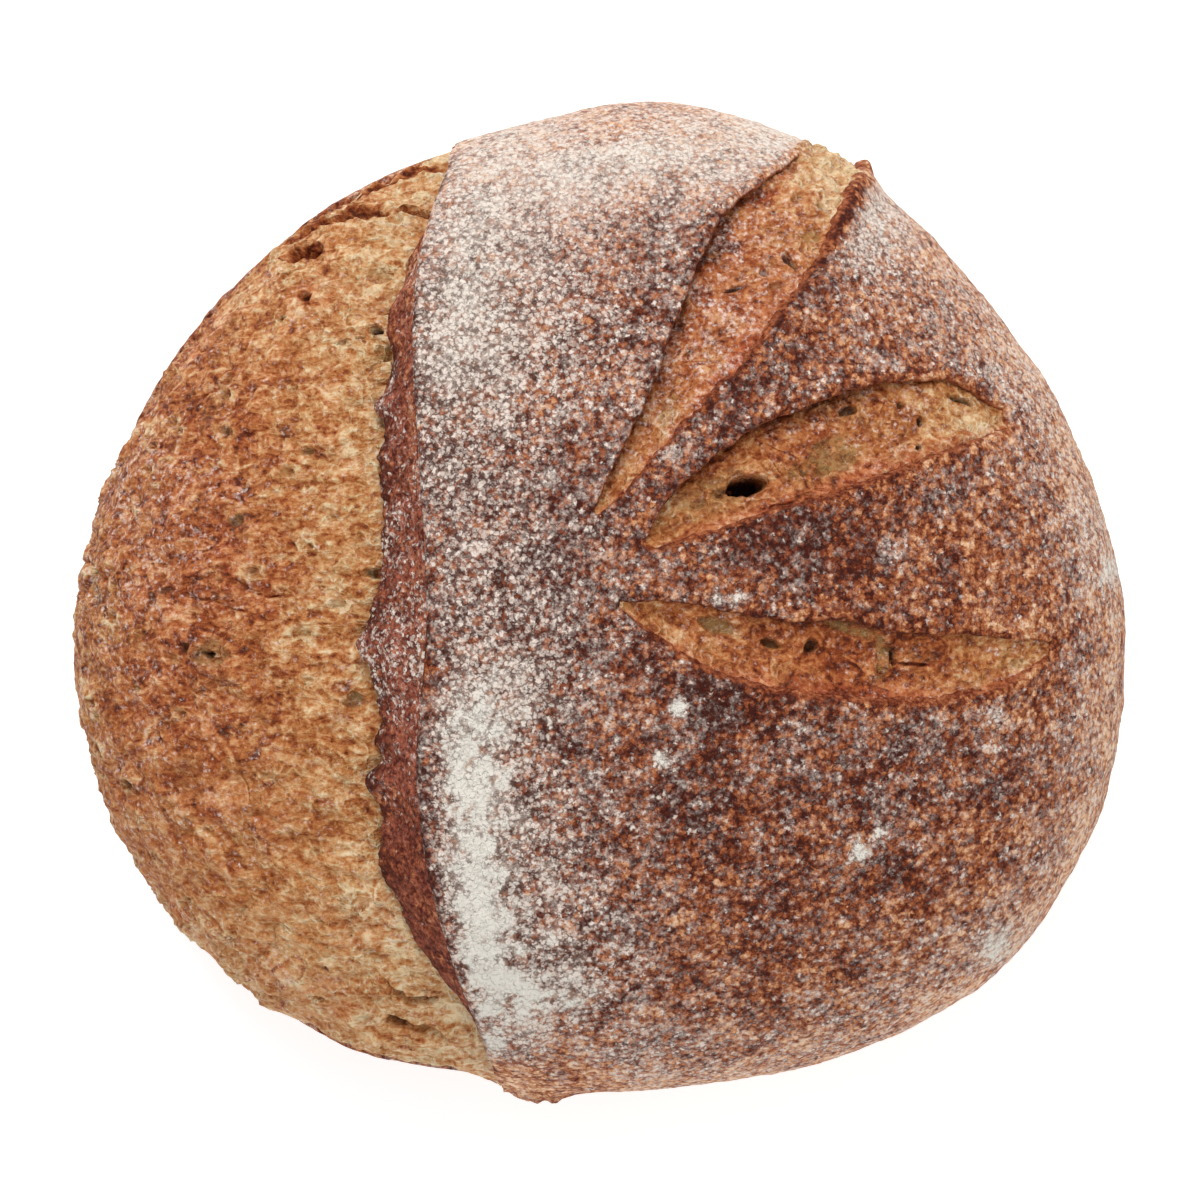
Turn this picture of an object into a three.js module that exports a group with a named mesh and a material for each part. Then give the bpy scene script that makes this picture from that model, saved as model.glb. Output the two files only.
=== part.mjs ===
// A round sourdough loaf, slashed on top and torn open along one side by the oven.
// Millimetres. The loaf stands on z = 0 with its origin under the middle, +Z up.
// The long slash runs roughly along Y, left of the middle: its ear is the lifted edge of the crust,
// the bloom is the torn crumb on the -X side of it, and three leaf-shaped cuts fan out on the +X side.
import * as THREE from "three";

// ---- The dome ----
const HEIGHT = 92; // base to the top of the dome, without the ear
const SHOULDER = 32; // height of the widest line
const ROUNDNESS = 2.2; // exponent of the dome's section, where 2 is an ellipse
const BASE_SHARE = 0.8; // radius of the flat base over the outline's
const BASE_ELEVATION = Math.PI / 4; // how much of the lower quarter turn is the rounded wall
const OUTLINE_STEP = 20; // degrees between two radii of the outline
const OUTLINE = [
  118.5, 113.5, 110.5, 112.5, 113, 107, 107, 108.5, 113,
  119, 121.5, 121, 116.5, 109.5, 111, 117.5, 124, 122.5,
];
const SWELL = { height: 0.9, width: 26, from: 0.3 }; // slow waves above this share of the shoulder
const SLASH_NORTH = 106.5; // azimuth in degrees of the long slash's far end
const SLASH_SOUTH = 259.5; // and of its near end

// ---- The long slash: plan points (x, y), or (azimuth in degrees, height) on the low wall ----
const EAR_EDGE = [
  [-32.5, 91.5], [-35.5, 81], [-38, 65], [-38.5, 48], [-37, 25], [-36, 8],
  [-36, -10], [-38, -32], [-36, -55], [-33, -68], [-29, -82], [-23, -99],
];
const EAR_FOOT = [
  [-33, 91.5], [-37, 81], [-43.5, 72], [-44.5, 56], [-47.5, 40], [-47.5, 20], [-50.5, -8],
  [-48.5, -32], [-47.5, -55], [-42, -72], [-36, -83], [-27.5, -92], [-23.5, -99],
];
const BLOOM_RIM = [
  [115, 43], [130, 40], [145, 37], [160, 31], [180, 25], [205, 24], [222, 28], [235, 33], [248, 38],
];
const EAR_LIFT = 6.5; // how far the crust's edge stands above the dome
const EAR_FADE = 0.7; // exponent with which the ear dies away towards both ends
const EAR_LIFT_REACH = 42; // how far back from the edge the crust is lifted
const EAR_BELLY = 0.85; // exponent of the ear's cut face, under 1 where it is hollow
const EAR_MIN_WIDTH = 0.012; // narrowest the cut face gets, as an angle round the loaf
const EAR_DROP = 5; // how far the foot of the edge lies under the dome
const EAR_TUCK = 2.5; // how far the torn crumb runs in under the foot
const BLOOM_SINK = 8.5; // depth of the bloom where it leaves the ear
const BLOOM_RECOVERY = 1.7; // exponent with which it comes up again
const BLOOM_SWELL = { height: 2.5, lean: 0.8 }; // how its middle swells out again, nearer the ear
const RIM_LEDGE = { height: 1.6, from: 0.5 }; // how far the low crust stands proud of the bloom
const BROAD_CRAGS = { height: 1.3, across: 13, along: 9 }; // the torn crumb's broad lumps
const NARROW_CRAGS = { height: 0.7, across: 7, along: 6 }; // and its narrow ones
const EAR_TIP = { azimuth: 262, height: 33, reach: 9, stand: 4.5 }; // torn end of the ear

// ---- The leaf-shaped cuts. Each has a tip and an axis; its edges are offsets from the axis ----
// left and right are read at equal steps from the tip to the end, positive to the left of the axis.
// heal is how much of the depth is lost again towards the end.
const CUTS = {
  upper: {
    tip: [-1.5, 17.5],
    angle: 56,
    length: 116,
    left: [0.5, 2.5, 4, 6.5, 9.5, 12, 13, 10.5, 7.5, 4.5, 0.5],
    right: [-0.5, -4, -5, -7, -9, -9.5, -10, -8.5, -7, -5.5, -0.5],
    depth: 5.5,
    heal: 0.85,
    leftLip: 1.4,
    rightLip: 0.6,
    endLip: 2,
  },
  middle: {
    tip: [9.5, 11],
    angle: 19,
    length: 85,
    left: [0.5, 8.5, 12.5, 15.5, 17, 17.5, 18, 17.5, 15.5, 12, 2],
    right: [-0.5, -2, -2, -2, -2, -2.5, -2.5, -2, -2, -1.5, -0.5],
    depth: 5.5,
    heal: 0.3,
    leftLip: 1.2,
    rightLip: 1.2,
    endLip: 0,
  },
  lower: {
    tip: [4, 0],
    angle: -6,
    length: 95,
    left: [0.5, 1.5, 1.5, 0.5, 0.5, 1, 0.5, 0.5, 1.5, 2, 1],
    right: [-1, -8, -12, -15, -15.5, -16, -15.5, -14.5, -12.5, -9, -1],
    depth: 4.5,
    heal: 0.4,
    leftLip: 0.4,
    rightLip: 1.4,
    endLip: 0,
  },
};
const LIP_WIDTH = 5; // how far a cut's raised lip spreads over the crust
const CUT_SLOPE = 0.36; // deepest a cut gets for its width
const CUT_LEAN = 1.4; // above 1 where a cut's deepest line is left of its middle
const LIP_TURN = 4; // exponent with which the lip turns down into the cut
const CUT_MARGIN = 0.04; // share of its length by which a lip runs past both ends
const HEALED = [0.55, 0.85]; // shares of its length between which a cut gets shallower
const END_LIP = [0.5, 0.8]; // shares of its length between which the end's own lip rises

// ---- How finely the surface is made ----
const ROWS = 78;
const NORTH_CROWDING = 0.05; // how much closer the rows lie towards the far end
const MIDDLE_CROWDING = 0.035; // and towards the middle
const COLUMNS = { crust: 38, strip: 3, bloom: 15, wall: 4, base: 4, farWall: 4 };
const RIM_STEP = 0.03; // angle over which the low crust's ledge rises
const FOOT_STEP = 0.01; // angle between the ear's foot and the first column of the bloom
const LENGTH_STEPS = 48; // pieces in which a column's length is summed
const HALVINGS = 24; // steps in which a column is found from its length

// ---- Smooth curves through named values ----

// Value at t of the smooth curve through sorted [t, value] pairs, held level past both ends.
function through(pairs, t) {
  const last = pairs.length - 1;
  if (t <= pairs[0][0]) return pairs[0][1];
  if (t >= pairs[last][0]) return pairs[last][1];
  let i = 0;
  while (pairs[i + 1][0] < t) i += 1;
  const slope = (a, b) => (pairs[b][1] - pairs[a][1]) / (pairs[b][0] - pairs[a][0]);
  const step = pairs[i + 1][0] - pairs[i][0];
  const startSlope = slope(Math.max(i - 1, 0), i + 1) * step;
  const endSlope = slope(i, Math.min(i + 2, last)) * step;
  const u = (t - pairs[i][0]) / step;
  const rise = u * u * (3 - 2 * u);
  return (
    pairs[i][1] * (1 - rise) +
    pairs[i + 1][1] * rise +
    startSlope * u * (1 - u) * (1 - u) -
    endSlope * u * u * (1 - u)
  );
}

// Value at share 0..1 of a list of equally spaced values.
const along = (values, share) => through(values.map((value, i) => [i / (values.length - 1), value]), share);

// Radius of the outline at an azimuth in radians.
function outline(azimuth) {
  const turn = THREE.MathUtils.euclideanModulo(THREE.MathUtils.radToDeg(azimuth), 360);
  const n = OUTLINE.length;
  const pairs = [];
  for (let i = -2; i <= n + 2; i += 1) pairs.push([i * OUTLINE_STEP, OUTLINE[(i + n) % n]]);
  return through(pairs, turn);
}

const clamp01 = (value) => THREE.MathUtils.clamp(value, 0, 1);
const bell = (value) => Math.exp(-value * value);

// Smooth noise from -1 to 1 with one lump to each cell of a unit grid.
function lumps(x, y, z, seed) {
  const cell = [x, y, z].map(Math.floor);
  const share = [x, y, z].map((value, i) => THREE.MathUtils.smootherstep(value - cell[i], 0, 1));
  let sum = 0;
  for (let corner = 0; corner < 8; corner += 1) {
    const step = [corner & 1, (corner >> 1) & 1, corner >> 2];
    let hash = Math.imul(cell[0] + step[0], 374761393) + Math.imul(cell[1] + step[1], 668265263);
    hash = (hash + Math.imul(cell[2] + step[2], 1103515245) + Math.imul(seed, 974634777)) | 0;
    hash = Math.imul(hash ^ (hash >>> 13), 1274126177);
    hash = (hash ^ (hash >>> 16)) >>> 0;
    const weight = step.reduce((w, s, i) => w * (s ? share[i] : 1 - share[i]), 1);
    sum += weight * (hash / 2147483647.5 - 1);
  }
  return sum;
}

// ---- The bare loaf, as a function of azimuth and elevation in radians ----
// Elevation runs from a quarter turn at the top, through 0 on the widest line, to minus a quarter turn
// under the middle of the base.

function barePoint(azimuth, elevation) {
  const radius = outline(azimuth);
  let share, height, outward, upward;
  if (elevation >= 0) {
    share = Math.cos(elevation) ** (2 / ROUNDNESS);
    const rise = Math.sin(elevation) ** (2 / ROUNDNESS);
    height = SHOULDER + (HEIGHT - SHOULDER) * rise;
    outward = share ** (ROUNDNESS - 1) / radius;
    upward = rise ** (ROUNDNESS - 1) / (HEIGHT - SHOULDER);
  } else if (elevation > -BASE_ELEVATION) {
    const turn = (-elevation / BASE_ELEVATION) * (Math.PI / 2);
    share = BASE_SHARE + (1 - BASE_SHARE) * Math.cos(turn);
    height = SHOULDER * (1 - Math.sin(turn));
    outward = Math.cos(turn) / ((1 - BASE_SHARE) * radius);
    upward = -Math.sin(turn) / SHOULDER;
  } else {
    share = (BASE_SHARE * (Math.PI / 2 + elevation)) / (Math.PI / 2 - BASE_ELEVATION);
    height = 0;
    outward = 0;
    upward = -1;
  }
  const ray = new THREE.Vector3(Math.cos(azimuth), Math.sin(azimuth), 0);
  const point = ray.clone().multiplyScalar(share * radius).setZ(height);
  const normal = ray.clone().multiplyScalar(outward).setZ(upward).normalize();
  return { point, normal };
}

// ---- Rows run across the loaf from one end of the long slash to the other, columns run round them ----
// row is the angle from the near end, 0 to half a turn. column is the angle round, 0 on the +X side,
// a quarter turn at the top, half a turn on the -X side.

const BASE_START = Math.PI + BASE_ELEVATION; // column of the base's left edge
const BASE_END = Math.PI * 2 - BASE_ELEVATION; // and of its right edge
const NORTH = THREE.MathUtils.degToRad(SLASH_NORTH);
const SOUTH = THREE.MathUtils.degToRad(SLASH_SOUTH);

function anglesOf(row, column) {
  const side = Math.atan2(-Math.cos(row), Math.cos(column) * Math.sin(row));
  const elevation = Math.asin(THREE.MathUtils.clamp(Math.sin(column) * Math.sin(row), -1, 1));
  if (Math.abs(side) <= Math.PI / 2) {
    const share = side / Math.PI + 0.5;
    return [THREE.MathUtils.lerp(SOUTH - 2 * Math.PI, NORTH, share), elevation];
  }
  const share = ((side < 0 ? side + 2 * Math.PI : side) - Math.PI / 2) / Math.PI;
  return [THREE.MathUtils.lerp(NORTH, SOUTH, share), elevation];
}

// The row and column of the bare surface's point at an azimuth and elevation.
function gridOf(azimuth, elevation) {
  const turn = THREE.MathUtils.euclideanModulo(azimuth - NORTH, 2 * Math.PI);
  const leftSpan = SOUTH - NORTH;
  const side =
    turn <= leftSpan
      ? Math.PI / 2 + (turn / leftSpan) * Math.PI
      : Math.PI * 1.5 + ((turn - leftSpan) / (2 * Math.PI - leftSpan)) * Math.PI;
  const across = Math.cos(elevation) * Math.cos(side);
  const row = Math.acos(-Math.cos(elevation) * Math.sin(side));
  return [row, Math.atan2(Math.sin(elevation), across)];
}

function gridOfPlan([x, y]) {
  const azimuth = Math.atan2(y, x);
  const share = Math.min(Math.hypot(x, y) / outline(azimuth), 1);
  return gridOf(azimuth, Math.acos(share ** (ROUNDNESS / 2)));
}

function gridOfWall([degrees, height]) {
  const azimuth = THREE.MathUtils.degToRad(degrees);
  if (height >= SHOULDER) {
    const rise = (height - SHOULDER) / (HEIGHT - SHOULDER);
    return gridOf(azimuth, Math.asin(rise ** (ROUNDNESS / 2)));
  }
  const turn = Math.asin(1 - height / SHOULDER);
  const [row, column] = gridOf(azimuth, -(turn / (Math.PI / 2)) * BASE_ELEVATION);
  return [row, column < 0 ? column + 2 * Math.PI : column];
}

const sorted = (pairs) => pairs.sort((a, b) => a[0] - b[0]);
const earEdge = sorted(EAR_EDGE.map(gridOfPlan));
const earFoot = sorted(EAR_FOOT.map(gridOfPlan));
const bloomRim = sorted(BLOOM_RIM.map(gridOfWall));

// ---- Relief of the leaf-shaped cuts, in millimetres along the normal ----

function cutRelief(cut, x, y) {
  const angle = THREE.MathUtils.degToRad(cut.angle);
  const [dx, dy] = [x - cut.tip[0], y - cut.tip[1]];
  const share = (dx * Math.cos(angle) + dy * Math.sin(angle)) / cut.length;
  const aside = dy * Math.cos(angle) - dx * Math.sin(angle);
  if (share < -CUT_MARGIN || share > 1 + CUT_MARGIN) return 0;
  const left = along(cut.left, clamp01(share));
  const right = along(cut.right, clamp01(share));
  const fade = Math.sin(Math.PI * clamp01(share));
  const rise = THREE.MathUtils.smoothstep(share, ...END_LIP);
  const fall = THREE.MathUtils.smoothstep(1 + CUT_MARGIN - share, 0, 1 - END_LIP[1]);
  const leftLip = cut.leftLip * fade;
  const rightLip = cut.rightLip * fade + cut.endLip * rise * fall;
  if (aside >= left) return leftLip * bell((aside - left) / LIP_WIDTH);
  if (aside <= right) return rightLip * bell((right - aside) / LIP_WIDTH);
  const across = (aside - right) / (left - right);
  const healed = 1 - cut.heal * THREE.MathUtils.smoothstep(share, ...HEALED);
  const depth = Math.min(cut.depth, CUT_SLOPE * (left - right)) * healed;
  const turned = leftLip * across ** LIP_TURN + rightLip * (1 - across) ** LIP_TURN;
  return turned - depth * Math.sin(Math.PI * across ** CUT_LEAN);
}

// ---- One point of the finished surface ----

// How strongly the ear stands up along the slash, 0 at both ends.
const earStrength = (row) => Math.sin(row) ** EAR_FADE;

// The crust right of the ear, the low wall and the base. toEar is the distance to the ear's edge.
function crustRelief(point, developed, toEar, row) {
  const onTop = THREE.MathUtils.smoothstep(point.z, SHOULDER * SWELL.from, SHOULDER);
  const lift = EAR_LIFT * earStrength(row) * bell(toEar / EAR_LIFT_REACH);
  const cuts = Object.values(CUTS).reduce((sum, cut) => sum + cutRelief(cut, developed.x, developed.y), 0);
  const { x, y, z } = point.clone().divideScalar(SWELL.width);
  return lift + cuts + onTop * SWELL.height * lumps(x, y, z, 3);
}

// The torn crumb left of the ear, where share runs from 0 under the ear to 1 at the low crust's rim.
function bloomRelief(point, share, row) {
  const sink = BLOOM_SINK * earStrength(row) * (1 - share) ** BLOOM_RECOVERY;
  const swell = BLOOM_SWELL.height * Math.sin(Math.PI * share ** BLOOM_SWELL.lean) * Math.sin(row);
  const ledge = RIM_LEDGE.height * THREE.MathUtils.smoothstep(share, RIM_LEDGE.from, 1);
  const crag = ({ height, across, along: length }, seed) =>
    height * lumps(point.x / across, point.y / length, point.z / across, seed);
  const crags = crag(BROAD_CRAGS, 7) + crag(NARROW_CRAGS, 11);
  return swell - sink - ledge + crags * Math.sqrt(Math.sin(row));
}

// The bare point for a row and column, raised by what relief gives for it.
function raised(row, column, relief) {
  const [azimuth, elevation] = anglesOf(row, column);
  const { point, normal } = barePoint(azimuth, elevation);
  const below = Math.max(SHOULDER - point.z, 0);
  const developed = point.clone().setZ(0);
  if (elevation < 0) developed.setLength(outline(azimuth) + below);
  const offset = relief(point, developed);
  const tip = barePoint(THREE.MathUtils.degToRad(EAR_TIP.azimuth), 0).point.setZ(EAR_TIP.height);
  const horn = EAR_TIP.stand * bell(point.distanceTo(tip) / EAR_TIP.reach);
  point.addScaledVector(normal, offset);
  if (elevation > -BASE_ELEVATION / 2) point.addScaledVector(normal, horn);
  point.z = Math.max(point.z, 0);
  return point;
}

// Length round the middle row up to a column, for spacing the columns evenly.
function lengthTo(column) {
  const step = column / LENGTH_STEPS;
  let sum = 0;
  for (let i = 0; i < LENGTH_STEPS; i += 1) {
    const at = step * (i + 0.5);
    sum += Math.hypot(OUTLINE[0] * Math.sin(at), (HEIGHT - SHOULDER) * Math.cos(at)) * step;
  }
  return sum;
}

// count columns from start towards end, evenly spaced along the surface, without the end itself.
function columnsBetween(start, end, count) {
  const [from, to] = [lengthTo(start), lengthTo(end)];
  const found = [];
  for (let i = 0; i < count; i += 1) {
    const wanted = THREE.MathUtils.lerp(from, to, i / count);
    let [low, high] = [start, end];
    for (let halving = 0; halving < HALVINGS; halving += 1) {
      const middle = (low + high) / 2;
      if (lengthTo(middle) < wanted) low = middle;
      else high = middle;
    }
    found.push((low + high) / 2);
  }
  return found;
}

// Angle of the row at a share 0..1 of the way from the near end to the far end.
const rowAt = (share) =>
  Math.PI *
  (share + NORTH_CROWDING * Math.sin(Math.PI * share) + MIDDLE_CROWDING * Math.sin(2 * Math.PI * share));

// All points of one row, once round.
function rowPoints(row) {
  const edge = through(earEdge, row);
  const foot = Math.max(through(earFoot, row), edge + EAR_MIN_WIDTH);
  const rim = through(bloomRim, row);
  const strength = earStrength(row);
  const acrossRadius = outline(0) * Math.sin(row);
  const points = [];
  for (const column of columnsBetween(0, edge, COLUMNS.crust)) {
    const relief = (point, developed) => crustRelief(point, developed, (edge - column) * acrossRadius, row);
    points.push(raised(row, column, relief));
  }
  for (let i = 0; i <= COLUMNS.strip; i += 1) {
    const share = i / COLUMNS.strip;
    const level = THREE.MathUtils.lerp(EAR_LIFT, -EAR_DROP, share ** EAR_BELLY) * strength;
    points.push(raised(row, THREE.MathUtils.lerp(edge, foot, share), () => level));
  }
  const footPoint = points[points.length - 1];
  const tuck = footPoint.clone();
  tuck.x += EAR_TUCK * strength;
  tuck.z -= ((BLOOM_SINK - EAR_DROP) * strength) / 2;
  points.push(tuck);
  const onBloom = columnsBetween(foot + FOOT_STEP, rim - RIM_STEP, COLUMNS.bloom);
  for (const column of [...onBloom, rim - RIM_STEP]) {
    const share = clamp01((column - foot) / (rim - foot));
    points.push(raised(row, column, (point) => bloomRelief(point, share, row)));
  }
  const rest = [
    ...columnsBetween(rim, BASE_START, COLUMNS.wall),
    ...columnsBetween(BASE_START, BASE_END, COLUMNS.base),
    ...columnsBetween(BASE_END, Math.PI * 2, COLUMNS.farWall),
  ];
  for (const column of rest) {
    points.push(raised(row, column, (point, developed) => crustRelief(point, developed, Infinity, row)));
  }
  return points;
}

// ---- The closed mesh: two end points and the rows between them ----

function loafGeometry() {
  const positions = [];
  const indices = [];
  const rows = [];
  for (let i = 1; i < ROWS; i += 1) rows.push(rowPoints(rowAt(i / ROWS)));
  const around = rows[0].length;
  const bounds = new THREE.Box3().setFromPoints(rows.flat());
  const middle = bounds.getCenter(new THREE.Vector3()).setZ(0);
  const push = (point) => positions.push(point.x - middle.x, point.y - middle.y, point.z);
  rows.flat().forEach(push);
  const nearEnd = positions.length / 3;
  push(raised(0, Math.PI / 2, () => 0));
  const farEnd = nearEnd + 1;
  push(raised(Math.PI, Math.PI / 2, () => 0));
  for (let c = 0; c < around; c += 1) {
    const next = (c + 1) % around;
    indices.push(nearEnd, c, next);
    for (let r = 0; r < rows.length - 1; r += 1) {
      const [a, b] = [r * around + c, r * around + next];
      const [d, e] = [a + around, b + around];
      indices.push(a, d, b, d, e, b);
    }
    const lastRow = (rows.length - 1) * around;
    indices.push(farEnd, lastRow + next, lastRow + c);
  }
  const geometry = new THREE.BufferGeometry();
  geometry.setAttribute("position", new THREE.Float32BufferAttribute(positions, 3));
  geometry.setIndex(indices);
  geometry.computeVertexNormals();
  return geometry;
}

const crust = new THREE.MeshStandardMaterial({ color: 0x9a6a4a, roughness: 0.85, metalness: 0 });
const loaf = new THREE.Mesh(loafGeometry(), crust);
loaf.name = "loaf";
const group = new THREE.Group();
group.add(loaf);

export default group;
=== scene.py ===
"""A round sourdough loaf: floured crust, a raised ear, the torn bloom beside it and three leaf-shaped cuts.

Shapes are worked out in millimetres on the loaf's own grid and put into meshes in metres. A row is the
angle from the slash's near end to its far end, and a column is the angle round the loaf across the slash.
"""
import logging
import math
from collections.abc import Callable
from dataclasses import dataclass, field
from enum import Enum

import bpy
import numpy as np
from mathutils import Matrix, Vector


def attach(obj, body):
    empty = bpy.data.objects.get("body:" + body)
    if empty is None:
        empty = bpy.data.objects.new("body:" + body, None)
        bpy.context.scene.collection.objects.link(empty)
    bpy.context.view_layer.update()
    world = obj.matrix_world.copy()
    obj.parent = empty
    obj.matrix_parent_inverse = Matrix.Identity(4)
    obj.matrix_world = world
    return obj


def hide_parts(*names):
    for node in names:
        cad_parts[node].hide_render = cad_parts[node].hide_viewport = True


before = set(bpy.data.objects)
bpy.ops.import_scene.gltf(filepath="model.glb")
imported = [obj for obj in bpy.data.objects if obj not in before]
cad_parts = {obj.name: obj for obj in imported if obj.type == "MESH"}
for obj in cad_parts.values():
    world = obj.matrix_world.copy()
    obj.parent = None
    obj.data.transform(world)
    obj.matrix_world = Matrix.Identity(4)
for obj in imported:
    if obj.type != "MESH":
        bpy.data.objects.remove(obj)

logging.basicConfig(level=logging.INFO, format="%(message)s")
log = logging.getLogger("loaf")

MM = 0.001
CELL_FACTORS = np.array([374761393, 668265263, 1103515245], np.uint32)
SEED_FACTOR = 974634777
HASH_ROUNDS = ((13, 1274126177), (16, 2246822519))
HASH_END = 15
SEED_STEP = 0.37
LUMP_GAIN = 1.6
SHARP_EDGE = math.radians(75)

Array = np.ndarray
Triple = tuple[float, float, float]
Screen = tuple[int, int, int]
Place = tuple[float, float]
Values = tuple[float, ...]


# ---------------------------------------------------------------- curves and noise


def through(knots: Array, values: Array, at: Array) -> Array:
    """Smooth curve through the points (knot, value), held level past both ends.

    On each span it is the cubic that meets both values with slopes taken across their neighbours.

    Args:
        knots: Rising places of the values.
        values: The values there.
        at: Places where the curve is wanted.

    Returns:
        The curve's values at those places.
    """
    knots = np.asarray(knots, float)
    values = np.asarray(values, float)
    last = len(knots) - 1
    before = np.maximum(np.arange(last + 1) - 1, 0)
    after = np.minimum(np.arange(last + 1) + 1, last)
    slopes = (values[after] - values[before]) / (knots[after] - knots[before])
    at = np.clip(at, knots[0], knots[last])
    i = np.clip(np.searchsorted(knots, at, side="right") - 1, 0, last - 1)
    step = knots[i + 1] - knots[i]
    u = (at - knots[i]) / step
    rise = u * u * (3 - 2 * u)
    bend = slopes[i] * u * (1 - u) ** 2 - slopes[i + 1] * u * u * (1 - u)
    return values[i] * (1 - rise) + values[i + 1] * rise + step * bend


def evenly(values: Values, share: Array) -> Array:
    """The smooth curve through equally spaced values, at shares 0 to 1 of their length."""
    return through(np.linspace(0, 1, len(values)), values, share)


def smoothstep(low: float, high: float, value: Array) -> Array:
    """0 below low, 1 above high, and the smooth cubic 3t² - 2t³ between them."""
    t = np.clip((value - low) / (high - low), 0, 1)
    return t * t * (3 - 2 * t)


def steps(value: Array, *rises: tuple[float, float, float]) -> Array:
    """Sum of smoothsteps of a value, each given by its height and the two values between which it rises."""
    return sum(height * smoothstep(low, high, value) for height, low, high in rises)


def bell(value: Array) -> Array:
    """The bell curve exp(-value²)."""
    return np.exp(-np.square(value))


def turned(flat: Array, middle: Place, degrees: float) -> tuple[Array, Array]:
    """Offsets of plan points from a middle, measured on axes turned by an angle.

    Args:
        flat: Plan points, (..., 2).
        middle: Where the axes cross.
        degrees: Their turn to the left.

    Returns:
        Offsets along the turned x axis and along the turned y axis, (...) each.
    """
    angle = math.radians(degrees)
    dx, dy = flat[..., 0] - middle[0], flat[..., 1] - middle[1]
    return dx * math.cos(angle) + dy * math.sin(angle), dy * math.cos(angle) - dx * math.sin(angle)


def hashed(cell: Array, seed: int) -> Array:
    """A repeatable 32-bit number for each whole-numbered cell, from products and shifts of its three places.

    Args:
        cell: Whole numbers, (..., 3).
        seed: Which of the noises it is for.

    Returns:
        Unsigned 32-bit numbers, (...).
    """
    h = (cell.astype(np.int64).astype(np.uint32) * CELL_FACTORS).sum(axis=-1, dtype=np.uint32)
    h = h + np.uint32(seed * SEED_FACTOR & 0xFFFFFFFF)
    for shift, factor in HASH_ROUNDS:
        h = (h ^ (h >> np.uint32(shift))) * np.uint32(factor)
    return h ^ (h >> np.uint32(HASH_END))


def lumps(places: Array, size: float, seed: int) -> Array:
    """Gradient noise, about -1 to 1: slopes hashed at the cells' corners, blended by t³(10-15t+6t²).

    Args:
        places: Points in millimetres, (..., 3).
        size: Width of a cell in millimetres.
        seed: Which noise.

    Returns:
        The noise, (...).
    """
    spot = places / size + SEED_STEP * seed
    cell = np.floor(spot)
    t = spot - cell
    w = t * t * t * (10 + t * (6 * t - 15))
    total = np.zeros(places.shape[:-1])
    for corner in np.ndindex(2, 2, 2):
        step = np.array(corner, float)
        h = hashed(cell + step, seed)
        turn = (h & np.uint32(0xFFFF)).astype(float) * (2 * np.pi / 0x10000)
        up = (h >> np.uint32(16)).astype(float) / 0x8000 - 1
        flat = np.sqrt(1 - up * up)
        away = t - step
        slope = away[..., 0] * flat * np.cos(turn) + away[..., 1] * flat * np.sin(turn) + away[..., 2] * up
        total += slope * np.prod(np.where(step == 1, w, 1 - w), axis=-1)
    return total * LUMP_GAIN


def fractal(places: Array, size: float, seed: int, octaves: int, gain: float = 0.5) -> Array:
    """Sum of noises whose cells halve and whose heights shrink each time, about -1 to 1.

    Args:
        places: Points in millimetres, (..., 3).
        size: Width of the first one's cells in millimetres.
        seed: Which noise.
        octaves: How many are added.
        gain: Height of each as a share of the one before it.

    Returns:
        The noise, (...).
    """
    heights = [gain**octave for octave in range(octaves)]
    layers = [h * lumps(places, size / 2**octave, seed + 7 * octave) for octave, h in enumerate(heights)]
    return sum(layers) / sum(heights)


def relief(places: Array, seed: int, *layers: tuple[float, float]) -> Array:
    """Sum of noises at points (..., 3), each layer its height and cell width, with the next seed."""
    return sum(height * lumps(places, size, seed + i) for i, (height, size) in enumerate(layers))


def nearest_seed(places: Array, size: float, seed: int) -> tuple[Array, Array]:
    """Distance to the nearest of the points strewn one to a cell, and that point's own random number.

    Args:
        places: Points in millimetres, (..., 3).
        size: Width of a cell in millimetres.
        seed: Which strewing.

    Returns:
        The distance as a share of the cell's width, and a number 0 to 1 of the nearest point.
    """
    spot = places / size
    cell = np.floor(spot)
    best = np.full(places.shape[:-1], 9.0)
    owner = np.zeros(places.shape[:-1])
    for corner in np.ndindex(3, 3, 3):
        near = cell + np.array(corner, float) - 1
        h = hashed(near, seed)
        parts = (h & np.uint32(1023), (h >> np.uint32(10)) & np.uint32(1023), h >> np.uint32(22))
        away = np.linalg.norm(near + np.stack(parts, axis=-1) / 1023.0 - spot, axis=-1)
        closer = away < best
        best = np.where(closer, away, best)
        owner = np.where(closer, (hashed(near, seed + 91) & np.uint32(4095)) / 4095.0, owner)
    return best, owner


def raised(point: Array, normal: Array, height: Array) -> Array:
    """Points (..., 3) moved along their normals by heights (...), but never under the base, z = 0."""
    return np.maximum(point + normal * height[..., None], (-np.inf, -np.inf, 0))


# ---------------------------------------------------------------- the loaf's form


@dataclass(frozen=True)
class Pit:
    """An elliptical hollow in torn crumb, at a plan point, with its half axes, turn in degrees and depth.

    dark is how black its bottom is, olive how much it is glazed with thin, grey-green crumb and rust how
    red-brown its sides are, 0 to 1. bend is how far its ends lie to the left of its middle.
    """

    x: float
    y: float
    half_length: float
    half_width: float
    turn: float
    depth: float
    # dark is painted shade at the pit's bottom.
    dark: float = 0.0
    olive: float = 0.0
    rust: float = 0.0
    bend: float = 0.0

    def reach(self, flat: Array) -> Array:
        """Distance from its middle, 1 on its rim.

        Args:
            flat: Plan points, (..., 2).

        Returns:
            Distances, (...).
        """
        along, aside = turned(flat, (self.x, self.y), self.turn)
        along = along / self.half_length
        return np.hypot(along, (aside - self.bend * np.square(along)) / self.half_width)


@dataclass(frozen=True)
class Hollows:
    """What pits do to the crumb: depth and rim in millimetres, and dark, olive and rust, 0 to 1."""

    depth: Array
    rim: Array
    # Painted shade at the pits' bottoms.
    dark: Array
    olive: Array
    rust: Array


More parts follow.
